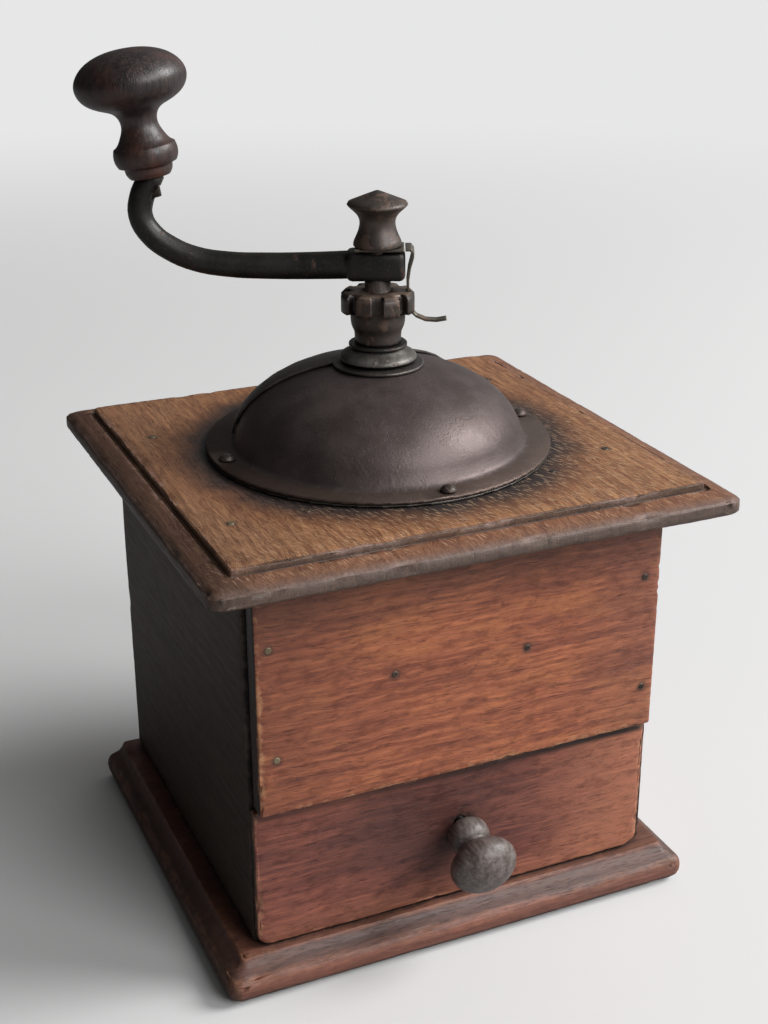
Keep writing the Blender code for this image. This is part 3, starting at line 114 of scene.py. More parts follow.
def mark(tree, color, value, look, blend="MIX"):
    # lays the look's tone over color where value lies in its reach
    amount = calc(tree, "MULTIPLY", reached(tree, value, look["reach"]), look["share"])
    return mixed(tree, amount, color, look["tone"], blend)


def mapped(tree, vector, scale=(1, 1, 1), turn=(0, 0, 0), shift=(0, 0, 0)):
    sockets = {"Vector": vector, "Scale": scale, "Location": shift}
    sockets["Rotation"] = [math.radians(angle) for angle in turn]
    return addNode(tree, "ShaderNodeMapping", sockets).outputs["Vector"]


def clouds(tree, vector, scale, detail=3.0, rough=0.55, warp=0.0):
    sockets = {"Vector": vector, "Scale": scale, "Detail": detail}
    sockets.update({"Roughness": rough, "Distortion": warp})
    return addNode(tree, "ShaderNodeTexNoise", sockets)


def axes(tree, vector):
    return addNode(tree, "ShaderNodeSeparateXYZ", {0: vector}).outputs


def strongest(tree, first, second):
    return calc(tree, "MAXIMUM", first, second)


def flattened(tree, vector, keep):
    return addNode(tree, "ShaderNodeVectorMath", {0: vector, 1: keep},
                   operation="MULTIPLY").outputs[0]


def lengthOf(tree, vector):
    return addNode(tree, "ShaderNodeVectorMath", {0: vector}, operation="LENGTH").outputs["Value"]


def gapTo(tree, vector, point):
    return addNode(tree, "ShaderNodeVectorMath", {0: vector, 1: point},
                   operation="DISTANCE").outputs["Value"]


def newGroup(name, inputs, outputs):
    group = bpy.data.node_groups.new(name, "ShaderNodeTree")
    kinds = {"float": "NodeSocketFloat", "vector": "NodeSocketVector", "color": "NodeSocketColor"}
    for label, kind in inputs:
        group.interface.new_socket(label, in_out="INPUT", socket_type=kinds[kind])
    for label, kind in outputs:
        group.interface.new_socket(label, in_out="OUTPUT", socket_type=kinds[kind])
    start = group.nodes.new("NodeGroupInput").outputs
    end = group.nodes.new("NodeGroupOutput").inputs
    return group, start, end


def useGroup(tree, group, sockets):
    made = tree.nodes.new("ShaderNodeGroup")
    made.node_tree = group
    for key, value in sockets.items():
        if isinstance(value, bpy.types.NodeSocket):
            tree.links.new(value, made.inputs[key])
        else:
            made.inputs[key].default_value = value
    return made.outputs


# Shared effects

figureScales = {
    "wander": (48, 34, 34), "grain": (85, 1250, 1250), "rings": (13, 430, 430),
    "mottle": (190, 460, 460), "pores": (150, 3000, 3000), "blotch": (20, 34, 34),
}


def buildWoodFigure():
    # grain runs along X of the vector it is given
    group, start, end = newGroup(
        "wood figure",
        [("Vector", "vector"), ("Waviness", "float")],
        [(label, "float") for label in ("Grain", "Rings", "Mottle", "Pores", "Blotch", "Height")],
    )

    def scaled(vector, name):
        return mapped(group, vector, figureScales[name])

    place = start["Vector"]
    wander = clouds(group, scaled(place, "wander"), 1.0, 2.0).outputs["Color"]
    centred = addNode(group, "ShaderNodeVectorMath", {0: wander, 1: (0.5, 0.5, 0.5)},
                      operation="SUBTRACT").outputs[0]
    swayed = addNode(group, "ShaderNodeVectorMath", {0: centred}, operation="SCALE")
    group.links.new(start["Waviness"], swayed.inputs["Scale"])
    warped = addNode(group, "ShaderNodeVectorMath", {0: place, 1: swayed.outputs[0]},
                     operation="ADD").outputs[0]
    grain = clouds(group, scaled(warped, "grain"), 1.0, 4.0, 0.62).outputs["Fac"]
    rings = clouds(group, scaled(warped, "rings"), 1.0, 3.0, 0.55, 0.3).outputs["Fac"]
    mottle = clouds(group, scaled(warped, "mottle"), 1.0, 5.0, 0.68).outputs["Fac"]
    pores = clouds(group, scaled(warped, "pores"), 1.0, 2.0, 0.5).outputs["Fac"]
    pores = fade(group, pores, 0.56, 0.70)
    blotch = clouds(group, scaled(place, "blotch"), 1.0, 4.0, 0.6, 0.8).outputs["Fac"]
    relief = calc(group, "MULTIPLY", grain, 0.6)
    relief = calc(group, "ADD", relief, calc(group, "MULTIPLY", rings, 0.4))
    relief = calc(group, "SUBTRACT", relief, calc(group, "MULTIPLY", pores, 0.5))
    for label, value in (("Grain", grain), ("Rings", rings), ("Pores", pores),
                         ("Mottle", mottle), ("Blotch", blotch), ("Height", relief)):
        group.links.new(value, end[label])
    return group


def buildEdgeRub():
    # Edge is 1 on arrises, broken up by noise; Normal has the arris rounded off
    group, start, end = newGroup(
        "edge rub",
        [("Vector", "vector"), ("Width", "float"), ("Patchiness", "float")],
        [("Edge", "float"), ("Normal", "vector")],
    )
    rounded = addNode(group, "ShaderNodeBevel", {"Radius": start["Width"]}, samples=6)
    flat = addNode(group, "ShaderNodeNewGeometry").outputs["Normal"]
    agree = addNode(group, "ShaderNodeVectorMath", {0: rounded.outputs[0], 1: flat},
                    operation="DOT_PRODUCT").outputs["Value"]
    turned = calc(group, "SUBTRACT", 1.0, agree)
    edge = fade(group, turned, 0.012, 0.16)
    broken = clouds(group, start["Vector"], 210.0, 4.0, 0.7).outputs["Fac"]
    patch = calc(group, "MULTIPLY", start["Patchiness"], fade(group, broken, 0.40, 0.62, 1.0, 0.0))
    edge = calc(group, "SUBTRACT", edge, patch, True)
    group.links.new(edge, end["Edge"])
    group.links.new(rounded.outputs[0], end["Normal"])
    return group


def buildGrime():
    # Grime and painted shade: 1 deep in corners and where pieces meet, where dirt collects and where
    # shade falls
    group, start, end = newGroup(
        "grime",
        [("Vector", "vector"), ("Reach", "float")],
        [("Grime", "float")],
    )
    shut = addNode(group, "ShaderNodeAmbientOcclusion", {"Distance": start["Reach"]}, samples=6)
    closed = calc(group, "SUBTRACT", 1.0, shut.outputs["AO"])
    uneven = clouds(group, start["Vector"], 160.0, 4.0, 0.65).outputs["Fac"]
    closed = calc(group, "MULTIPLY", closed, fade(group, uneven, 0.25, 0.60, 0.65, 1.25))
    group.links.new(fade(group, closed, 0.30, 0.85), end["Grime"])
    return group


scratchLayers = (  # turn, cells per metre across and along, half width in cells
    (-20, (1300, 130, 1), 0.20), (-27, (1500, 150, 1), 0.20), (-34, (1100, 105, 1), 0.15),
)


def buildScratches():
    # short thin strokes, mostly along Y of the vector it is given
    group, start, end = newGroup(
        "scratches",
        [("Vector", "vector"), ("Amount", "float")],
        [("Stroke", "float")],
    )
    total = None
    for turn, scale, width in scratchLayers:
        place = mapped(group, mapped(group, start["Vector"], turn=(0, 0, turn)), scale)
        cell = addNode(group, "ShaderNodeTexVoronoi", {"Vector": place, "Scale": 1.0},
                       voronoi_dimensions="2D")
        stroke = fade(group, cell.outputs["Distance"], width * 0.4, width, 1.0, 0.0)
        kept = calc(group, "LESS_THAN", axes(group, cell.outputs["Color"])[0], start["Amount"])
        stroke = calc(group, "MULTIPLY", stroke, kept)
        total = stroke if total is None else strongest(group, total, stroke)
    group.links.new(total, end["Stroke"])
    return group


woodFigure = buildWoodFigure()
edgeRub = buildEdgeRub()
grimeGroup = buildGrime()
scratchGroup = buildScratches()
print("shared effects built")


# Finishes

def newMaterial(name):
    material = bpy.data.materials.new(name)
    material.use_nodes = True
    tree = material.node_tree
    shader = tree.nodes["Principled BSDF"]
    place = addNode(tree, "ShaderNodeTexCoord").outputs["Object"]
    return material, tree, shader, place


def finishNormal(tree, shader, height, depth, base=None):
    bump = addNode(tree, "ShaderNodeBump", {"Height": height, "Distance": depth, "Strength": 1.0})
    if base is not None:
        tree.links.new(base, bump.inputs["Normal"])
    tree.links.new(bump.outputs["Normal"], shader.inputs["Normal"])


figureTints = (  # laid over the stains, so that the figure shows through them
    ("Mottle", (0.46, 0.66), "mottleShare", (0.48, 0.40, 0.40)),
    ("Pores", (0.00, 1.00), "poreShare", (0.42, 0.34, 0.33)),
    ("Grain", (0.50, 0.72), "fineShare", (1.50, 1.42, 1.32)),
)
woodDefaults = {
    "fineShare": 0.5, "specular": 0.4, "scratch": None, "scratchArea": None,
    "wornArea": None, "ends": None, "glossSpread": (-0.05, 0.08),
    "endReach": (0.35 * millimetre, 0.15 * millimetre), "endShare": 0.92,
    "wornScale": 260.0, "wornBreak": (0.38, 0.64), "dirtyGloss": (0.8, 0.8, 0.8),
}
ironDefaults = {
    "cloudScale": 90.0, "fleckScale": 1500.0, "rustScale": 140.0, "rustSpread": 0.10,
    "fleckRelief": 0.4, "rustRelief": 0.5, "cloudRelief": 0.5, "specular": 0.5,
    "glossSpread": (-0.06, 0.07), "rustyGloss": (0.78, 0.78, 0.78), "wornGloss": (0.36, 0.36, 0.36),
    "rustyMetal": 0.4,
}


def endsOf(node):
    low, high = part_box(node)
    return (low.x + high.x) / 2, (high.x - low.x) / 2


def woodFinish(look, stain=None):
    look = {**woodDefaults, **look}
    material, tree, shader, place = newMaterial(look["name"])
    along = mapped(tree, place, (1, 1, 1), look["turn"], look["shift"])
    figure = useGroup(tree, woodFigure, {"Vector": along, "Waviness": look["waviness"]})
    color = mixed(tree, fade(tree, figure["Rings"], 0.36, 0.66), look["dark"], look["mid"])
    lighter = {"reach": (0.40, 0.72), "share": look["grainShare"], "tone": look["light"]}
    color = mark(tree, color, figure["Grain"], lighter)
    patch = {"reach": (0.50, 0.72), "share": look["patchShare"], "tone": look["patch"]}
    color = mark(tree, color, figure["Blotch"], patch)
    height = figure["Height"]
    smooth, dull = (look["rough"] + part for part in look["glossSpread"])
    gloss = fade(tree, figure["Grain"], 0.30, 0.75, smooth, dull)
    if stain is not None:
        color = stain(tree, place, color, figure)
    for part, reach, share, tone in figureTints:
        fine = {"reach": reach, "share": look[share], "tone": tone}
        color = mark(tree, color, figure[part], fine, "MULTIPLY")
    if look["scratch"]:
        strokes = useGroup(tree, scratchGroup, {"Vector": place, "Amount": look["scratch"]})
        stroke = calc(tree, "MULTIPLY", strokes["Stroke"], look["scratchArea"](tree, place))
        shown = calc(tree, "MULTIPLY", stroke, look["scratchShare"])
        color = mixed(tree, shown, color, look["scratchColor"])
        height = calc(tree, "SUBTRACT", height, calc(tree, "MULTIPLY", stroke, look["scratchDepth"]))
    worn = addNode(tree, "ShaderNodeAttribute", attribute_name="rub").outputs["Fac"]
    broken = clouds(tree, place, look["wornScale"], 5.0, 0.7).outputs["Fac"]
    broken = fade(tree, broken, *look["wornBreak"], look["edgePatch"], 0.0)
    worn = calc(tree, "SUBTRACT", worn, broken, True)
    if look["wornArea"] is not None:
        worn = calc(tree, "MULTIPLY", worn, look["wornArea"](tree, place))
    color = mixed(tree, calc(tree, "MULTIPLY", worn, look["edgeShare"]), color, look["worn"])
    # painted shade and dirt: the end faces of the board are darkened
    if look["ends"] is not None:
        middle, half = look["ends"]
        out = calc(tree, "ABSOLUTE", calc(tree, "SUBTRACT", axes(tree, place)[0], middle))
        dark = {"reach": [half - part for part in look["endReach"]], "share": look["endShare"],
                "tone": look["grime"]}
        color = mark(tree, color, out, dark)
    # grime and painted shade: the occlusion darkens corners and joins
    grime = useGroup(tree, grimeGroup, {"Vector": place, "Reach": look["grimeReach"]})["Grime"]
    color = mixed(tree, calc(tree, "MULTIPLY", grime, look["grimeShare"]), color, look["grime"])
    gloss = mixed(tree, grime, gloss, look["dirtyGloss"])
    tree.links.new(color, shader.inputs["Base Color"])
    tree.links.new(gloss, shader.inputs["Roughness"])
    shader.inputs["Specular IOR Level"].default_value = look["specular"]
    finishNormal(tree, shader, height, look["relief"])
    return material


def ironFinish(look, stain=None):
    look = {**ironDefaults, **look}
    material, tree, shader, place = newMaterial(look["name"])
    cloud = clouds(tree, place, look["cloudScale"], 5.0, 0.6).outputs["Fac"]
    color = mixed(tree, fade(tree, cloud, 0.32, 0.68), look["dark"], look["mid"])
    fleck = clouds(tree, place, look["fleckScale"], 2.0, 0.6).outputs["Fac"]
    flecks = {"reach": (0.55, 0.72), "share": look["fleckShare"], "tone": look["fleck"]}
    color = mark(tree, color, fleck, flecks)
    rustCloud = clouds(tree, place, look["rustScale"], 6.0, 0.68, 0.6).outputs["Fac"]
    rust = fade(tree, rustCloud, look["rustFrom"], look["rustFrom"] + look["rustSpread"])
    shown = calc(tree, "MULTIPLY", rust, look["rustShare"])
    color = mixed(tree, shown, color, look["rust"])
    smooth, dull = (look["rough"] + part for part in look["glossSpread"])
    gloss = fade(tree, cloud, 0.30, 0.70, smooth, dull)
    if stain is not None:
        color = stain(tree, place, color)
    rub = useGroup(tree, edgeRub, {
        "Vector": place, "Width": look["edgeWidth"], "Patchiness": look["edgePatch"]})
    edge = calc(tree, "MULTIPLY", rub["Edge"], look["edgeShare"])
    color = mixed(tree, edge, color, look["worn"])
    # grime and painted shade: the occlusion darkens corners and joins
    grime = useGroup(tree, grimeGroup, {"Vector": place, "Reach": look["grimeReach"]})["Grime"]
    color = mixed(tree, calc(tree, "MULTIPLY", grime, look["grimeShare"]), color, look["grime"])
    gloss = mixed(tree, shown, gloss, look["rustyGloss"])
    gloss = mixed(tree, edge, gloss, look["wornGloss"])
    tree.links.new(color, shader.inputs["Base Color"])
    tree.links.new(gloss, shader.inputs["Roughness"])
    metal = fade(tree, shown, 0.0, 1.0, look["metal"], look["metal"] * look["rustyMetal"])
    tree.links.new(metal, shader.inputs["Metallic"])
    shader.inputs["Specular IOR Level"].default_value = look["specular"]
    height = calc(tree, "ADD", calc(tree, "MULTIPLY", fleck, look["fleckRelief"]),
                  calc(tree, "MULTIPLY", rust, look["rustRelief"]))
    height = calc(tree, "ADD", height, calc(tree, "MULTIPLY", cloud, look["cloudRelief"]))
    finishNormal(tree, shader, height, look["relief"], rub["Normal"])
    return material


def bodyOf(name):
    return nodes[name]["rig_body"]


def finishPiece(body, name, node, material):
    mesh = bpy.data.meshes.new(name)
    body.to_mesh(mesh)
    body.free()
    piece = bpy.data.objects.new(name, mesh)
    bpy.context.scene.collection.objects.link(piece)
    mesh.materials.append(material)
    for face in mesh.polygons:
        face.use_smooth = True
        face.material_index = 0
    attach(piece, bodyOf(node))
    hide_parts(node)
    return piece


def mergedCopy(node):
    body = bmesh.new()
    body.from_mesh(nodes[node].data)
    bmesh.ops.remove_doubles(body, verts=body.verts, dist=0.01 * millimetre)
    return body


def smoothPiece(material, *names, rounds=0, sharp=35.0):
    # a merged copy shaded smooth; with rounds, its quads are subdivided between hard edges
    for node in names:
        body = mergedCopy(node)
        if rounds:
            bmesh.ops.dissolve_limit(body, angle_limit=math.radians(0.4), verts=body.verts,
                                     edges=body.edges)
            crease = body.edges.layers.float.new("crease_edge")
            for edge in body.edges:
                if edge.calc_face_angle(math.pi) > math.radians(sharp):
                    edge[crease] = 1.0
        piece = finishPiece(body, node + "_finished", node, material)
        if rounds:
            soft = piece.modifiers.new("soft form", "SUBSURF")
            soft.levels = rounds
            soft.render_levels = rounds
        else:
            piece.data.set_sharp_from_angle(angle=math.radians(sharp))


def cutGrid(body, low, high, cell, borders):
    for axis in range(3):
        length = high[axis] - low[axis]
        count = max(int(length / cell), 1)
        places = [length * step / count for step in range(1, count)]
        for border in borders:
            places += [border, length - border]
        normal = Vector([1.0 if axis == item else 0.0 for item in range(3)])
        for place in sorted(places):
            if 0.0 < place < length:
                point = low.copy()
                point[axis] += place
                geometry = body.verts[:] + body.edges[:] + body.faces[:]
                bmesh.ops.bisect_plane(body, geom=geometry, dist=0.02 * millimetre,
                                       plane_co=point, plane_no=normal)


def arrisTree(body, sharp, step):
    points = []
    for edge in body.edges:
        if not edge.is_manifold or not edge.is_convex:
            continue
        if edge.calc_face_angle() < math.radians(sharp):
            continue
        start, end = (vert.co for vert in edge.verts)
        count = max(int((end - start).length / step), 1)
        points += [start.lerp(end, part / count) for part in range(count + 1)]
    tree = kdtree.KDTree(len(points))
    for index, point in enumerate(points):
        tree.insert(point, index)
    tree.balance()
    return tree


def wornBoard(node, material, look):
    # fine copy of a board: arrises rubbed down, chipped and a little uneven
    body = mergedCopy(node)
    arris = arrisTree(body, look["arrisAngle"], look["arrisStep"])
    low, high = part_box(node)
    cutGrid(body, low, high, look["cell"], look["borders"])
    bmesh.ops.recalc_face_normals(body, faces=body.faces)
    body.normal_update()
    rub = body.verts.layers.float.new("rub")
    seed = Vector((look["seed"], look["seed"] * 0.7, 0.0))
    moves = []
    for vert in body.verts:
        gap = arris.find(vert.co)[2]
        near = max(0.0, 1.0 - gap / look["rubReach"])
        wide = max(0.0, 1.0 - gap / look["chipReach"])
        slow, quick, fine, bow = (noise.noise(vert.co * scale + seed) for scale in look["waves"])
        worn = near * near * look["rubDepth"] * (0.75 + 0.7 * slow + 0.35 * fine)
        chip = max(0.0, quick * 0.6 + slow * 0.6 + fine * 0.35 - look["chipFrom"])
        deep = wide * wide * look["chipDepth"] * min(1.0, chip * 3.5)
        sway = look["sway"] * max(0.0, 0.5 + bow)
        moves.append((vert, vert.normal * (worn + deep + sway)))
        vert[rub] = min(1.0, near * (0.8 + 0.7 * slow) + min(1.0, chip * 3.5) * wide)
    for vert, move in moves:
        vert.co -= move
    piece = finishPiece(body, node + "_worn", node, material)
    piece.data.set_sharp_from_angle(angle=math.radians(look["sharp"]))


boardWear = {  # each board adds its own seed
    "cell": 1.7 * millimetre, "borders": (0.35 * millimetre, 0.8 * millimetre),
    "arrisAngle": 20.0, "arrisStep": 0.5 * millimetre, "sharp": 48.0,
    "rubReach": 1.5 * millimetre, "rubDepth": 0.22 * millimetre,
    "chipReach": 1.9 * millimetre, "chipDepth": 0.75 * millimetre, "chipFrom": 0.30,
    "sway": 0.06 * millimetre, "waves": (55.0, 190.0, 520.0, 22.0),
}


def dress(material, *names):
    for name in names:
        mesh = nodes[name].data
        mesh.materials.clear()
        mesh.materials.append(material)
        for face in mesh.polygons:
            face.material_index = 0


# Nails, where the marks stand on the front board and the top board

nailMarks = {
    "front": ((-0.0583, 0.1071), (-0.0569, 0.0742), (-0.0228, 0.0923),
              (0.0172, 0.0917), (0.0544, 0.1060), (0.0556, 0.0707)),
    "top": ((-0.0592, -0.0391), (-0.0380, -0.0396), (0.0567, 0.0400),
            (0.0584, -0.0316), (0.0354, -0.0412), (-0.0595, 0.0322)),
    "headRadius": 0.0011, "headRise": 0.00015, "headTaper": 0.72, "headSides": 14,
}


def nailGap(tree, place, keep, points):
    # distance to the nearest nail: keep drops the axis that the board faces
    spot = flattened(tree, place, keep)
    nearest = None
    for point in points:
        gap = gapTo(tree, spot, point)
        nearest = gap if nearest is None else calc(tree, "MINIMUM", nearest, gap)
    return nearest


# Front board

frontLook = {
    "name": "front_board_varnished_wood",
    "light": (0.48, 0.172, 0.080), "mid": (0.370, 0.123, 0.061), "dark": (0.215, 0.066, 0.039),
    "patch": (0.170, 0.055, 0.034), "worn": (0.55, 0.29, 0.15), "grime": (0.010, 0.007, 0.006),
    "turn": (0, 0, 0), "shift": (0.21, 0.03, 0.0), "waviness": 0.0034, "mottleShare": 0.60,
    "grainShare": 0.40, "patchShare": 0.40, "poreShare": 0.75, "rough": 0.44, "relief": 0.00010,
    "edgePatch": 0.9, "edgeShare": 0.75, "grimeReach": 0.005, "grimeShare": 0.95,
    "ends": endsOf("front_board"), "specular": 0.35,
}
frontMarks = {
    "darkArris": (0.052, 0.060, 1.0, 0.15),  # the right arris keeps little of the pale wear
    "uneven": 0.016,
    "warm": {"scale": (40, 40, 110), "reach": (0.50, 0.66), "share": 0.36,
             "tone": (0.50, 0.195, 0.075)},
    "ripple": {"scale": 105.0, "reach": (0.45, 0.95), "share": 0.30, "tone": (0.60, 0.50, 0.48)},
    # painted shade and grime: darker towards the top, under the top board
    "upper": {"reach": (0.110, 0.134), "share": 0.80, "tone": (0.065, 0.031, 0.024)},
    "right": {"reach": (0.030, 0.066), "share": 0.40, "tone": (0.15, 0.070, 0.056)},
    "left": {"reach": (-0.012, -0.050), "share": 0.42, "tone": (0.105, 0.037, 0.026)},
    "halo": {"reach": (0.0024, 0.00084), "share": 0.6, "tone": (0.050, 0.032, 0.026)},
}


def frontWornArea(tree, place):
    return fade(tree, axes(tree, place)[0], *frontMarks["darkArris"])


def frontStain(tree, place, color, figure):
    across, _, height = axes(tree, place)
    uneven = calc(tree, "MULTIPLY", figure["Blotch"], frontMarks["uneven"])
    sideways = calc(tree, "ADD", across, uneven)
    warm = clouds(tree, mapped(tree, place, frontMarks["warm"]["scale"]), 1.0, 5.0, 0.66)
    color = mark(tree, color, warm.outputs["Fac"], frontMarks["warm"])
    ripple = addNode(tree, "ShaderNodeTexWave", {
        "Vector": place, "Scale": frontMarks["ripple"]["scale"], "Distortion": 2.4, "Detail": 3.0,
        "Detail Scale": 0.55, "Detail Roughness": 0.6}, bands_direction="Z")
    color = mark(tree, color, ripple.outputs["Fac"], frontMarks["ripple"], "MULTIPLY")
    # painted shade and grime towards the top
    color = mark(tree, color, calc(tree, "ADD", height, uneven), frontMarks["upper"])
    color = mark(tree, color, sideways, frontMarks["right"])
    color = mark(tree, color, sideways, frontMarks["left"])
    nearest = nailGap(tree, place, (1, 0, 1), [(x, 0.0, z) for x, z in nailMarks["front"]])
    return mark(tree, color, nearest, frontMarks["halo"])


frontWood = woodFinish({**frontLook, "wornArea": frontWornArea}, frontStain)
wornBoard("front_board", frontWood, {**boardWear, "cell": 1.3 * millimetre, "seed": 5.0})
print("front board finished")


# Drawer front

drawerLook = {
    "name": "drawer_front_varnished_wood",
    "light": (0.290, 0.100, 0.063), "mid": (0.215, 0.072, 0.050), "dark": (0.125, 0.041, 0.033),
    "patch": (0.060, 0.028, 0.027), "worn": (0.42, 0.21, 0.12), "grime": (0.010, 0.007, 0.006),
    "turn": (0, 0, 0), "shift": (0.63, 0.11, 0.04), "waviness": 0.0028, "mottleShare": 0.60,
    "grainShare": 0.40, "patchShare": 0.45, "poreShare": 0.70, "rough": 0.42, "relief": 0.00009,
    "edgePatch": 0.8, "edgeShare": 0.7, "grimeReach": 0.005, "grimeShare": 0.95,
    "ends": endsOf("drawer_front"), "specular": 0.35,
}
drawerMarks = {
    "uneven": 0.014,
    "lower": {"reach": (0.018, 0.004), "share": 0.35, "tone": (0.38, 0.150, 0.085)},
    "right": {"reach": (0.020, 0.060), "share": 0.60, "tone": (0.42, 0.165, 0.095)},
    # painted shadow of the knob: the wood round it is dark, most above and to the left
    "paintedKnobShadow": {"middle": (-0.0072, 0.0, 0.040), "squeeze": (0.6, 0, 1), "reach": (0.036, 0.008),
                "share": 0.72, "tone": (0.052, 0.025, 0.024)},
    # painted shade and dirt in a line below the front board, widest on the right; its reach counts
    # from the top edge
    "seamShadeAndDirt": {"top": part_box("drawer_front")[1].z, "uneven": 0.12, "reach": (-0.0036, -0.0018),
             "widening": (-0.055, 0.050, 0.40, 0.97), "tone": (0.012, 0.008, 0.007)},
}


def drawerStain(tree, place, color, figure):
    across, _, height = axes(tree, place)
    uneven = calc(tree, "MULTIPLY", figure["Blotch"], drawerMarks["uneven"])
    color = mark(tree, color, calc(tree, "SUBTRACT", height, uneven), drawerMarks["lower"])
    color = mark(tree, color, calc(tree, "ADD", across, uneven), drawerMarks["right"])
    # painted shadow of the knob
    paintedKnobShadow = drawerMarks["paintedKnobShadow"]
    gap = gapTo(tree, flattened(tree, place, paintedKnobShadow["squeeze"]), paintedKnobShadow["middle"])
    color = mark(tree, color, calc(tree, "ADD", gap, uneven), paintedKnobShadow)
    # painted shade and dirt below the front board
    seamShadeAndDirt = drawerMarks["seamShadeAndDirt"]
    below = calc(tree, "ADD", height, calc(tree, "MULTIPLY", uneven, seamShadeAndDirt["uneven"]))
    below = calc(tree, "SUBTRACT", below, seamShadeAndDirt["top"])
    share = fade(tree, across, *seamShadeAndDirt["widening"])
    return mark(tree, color, below, {**seamShadeAndDirt, "share": share})


drawerWood = woodFinish(drawerLook, drawerStain)
drawerWear = {
    **boardWear, "cell": 1.3 * millimetre, "seed": 11.0,
    "rubDepth": 0.30 * millimetre, "chipFrom": 0.34,
}
wornBoard("drawer_front", drawerWood, drawerWear)
print("drawer front finished")


# Top board

topLook = {
    "name": "top_board_worn_wood",
    "light": (0.42, 0.228, 0.112), "mid": (0.310, 0.147, 0.068), "dark": (0.190, 0.082, 0.040),
    "patch": (0.230, 0.088, 0.042), "worn": (0.29, 0.185, 0.155), "grime": (0.014, 0.012, 0.012),
    "turn": (0, 0, 90), "shift": (0.0, 0.37, 0.0), "waviness": 0.0030, "mottleShare": 0.50,
    "grainShare": 0.5, "patchShare": 0.5, "poreShare": 0.65, "rough": 0.50, "relief": 0.00012,
    "edgePatch": 0.8, "edgeShare": 0.55, "grimeReach": 0.0035, "grimeShare": 0.55,
    "scratch": 0.55, "scratchColor": (0.66, 0.44, 0.27), "scratchShare": 0.7, "scratchDepth": 0.6,
}
topMarks = {
    "fieldHalfWidth": 0.0693, "fieldHalfDepth": 0.0663, "fieldMiddle": 0.0005,
    "face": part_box("top_board")[1].z, "uneven": 0.012, "wander": 0.0014,
    # scratches: most near the front right, none on the nose or in the quirk
    "scratchSlant": 0.55, "scratchTowards": (-0.01, 0.060, 0.06, 0.85),
    "scratchNose": (-0.0030, -0.0014, 0.10, 1.0), "scratchQuirk": (0.0006, 0.0014),
    "paleArris": (-0.0045, -0.0022, 0.2, 1.0),
    "margin": {"reach": (0.0, 0.001), "share": 0.66, "tone": (0.150, 0.058, 0.033)},
    # painted shade: a dark line along the groove round the raised field
    "quirk": {"reach": (0.0006, -0.0004), "strength": (-0.068, -0.060, 0.35, 0.80),
              "tone": (0.042, 0.028, 0.022)},
    # painted highlight: a pale lilac line along the margin's outer arris
    "rim": {"reach": (0.0055, 0.0082), "share": 0.5, "tone": (0.185, 0.115, 0.100)},
    "nose": {"reach": (-0.0015, -0.0045), "share": 0.76, "tone": (0.066, 0.055, 0.048)},
    # painted shade: the left is darker than the right, its margin darkest
    "shade": {"reach": (-0.020, -0.075), "share": 0.40, "tone": (0.085, 0.050, 0.034)},
    "left": {"reach": (-0.058, -0.066), "share": 0.55, "tone": (0.045, 0.026, 0.019)},
    # black bloom round the flange with a burnt orange border
    "cloud": 70.0, "cloudReach": -0.012,
    "burnt": {"reach": (0.0660, 0.0485), "share": 0.62, "tone": (0.190, 0.072, 0.030)},
    "bloom": {"reach": (0.0595, 0.0445), "share": 0.95, "tone": (0.017, 0.016, 0.018)},
    "halo": {"reach": (0.0026, 0.00091), "share": 0.7, "tone": (0.035, 0.026, 0.022)},
}


def fieldEdge(tree, place):
    # 0 at the raised field's edge, growing outwards
    across, depth, _ = axes(tree, place)
    centred = calc(tree, "SUBTRACT", across, topMarks["fieldMiddle"])
    sides = calc(tree, "SUBTRACT", calc(tree, "ABSOLUTE", centred), topMarks["fieldHalfWidth"])
    ends = calc(tree, "SUBTRACT", calc(tree, "ABSOLUTE", depth), topMarks["fieldHalfDepth"])
    return strongest(tree, sides, ends)


def belowTop(tree, place):
    return calc(tree, "SUBTRACT", axes(tree, place)[2], topMarks["face"])


def topScratchArea(tree, place):
    across, depth, _ = axes(tree, place)
    slanted = calc(tree, "MULTIPLY", across, topMarks["scratchSlant"])
    towards = calc(tree, "SUBTRACT", slanted, depth)
    area = fade(tree, towards, *topMarks["scratchTowards"])
    flat = fade(tree, belowTop(tree, place), *topMarks["scratchNose"])
    groove = calc(tree, "ABSOLUTE", fieldEdge(tree, place))
    groove = fade(tree, groove, *topMarks["scratchQuirk"])
    return calc(tree, "MULTIPLY", calc(tree, "MULTIPLY", area, flat), groove)


def topWornArea(tree, place):
    return fade(tree, belowTop(tree, place), *topMarks["paleArris"])


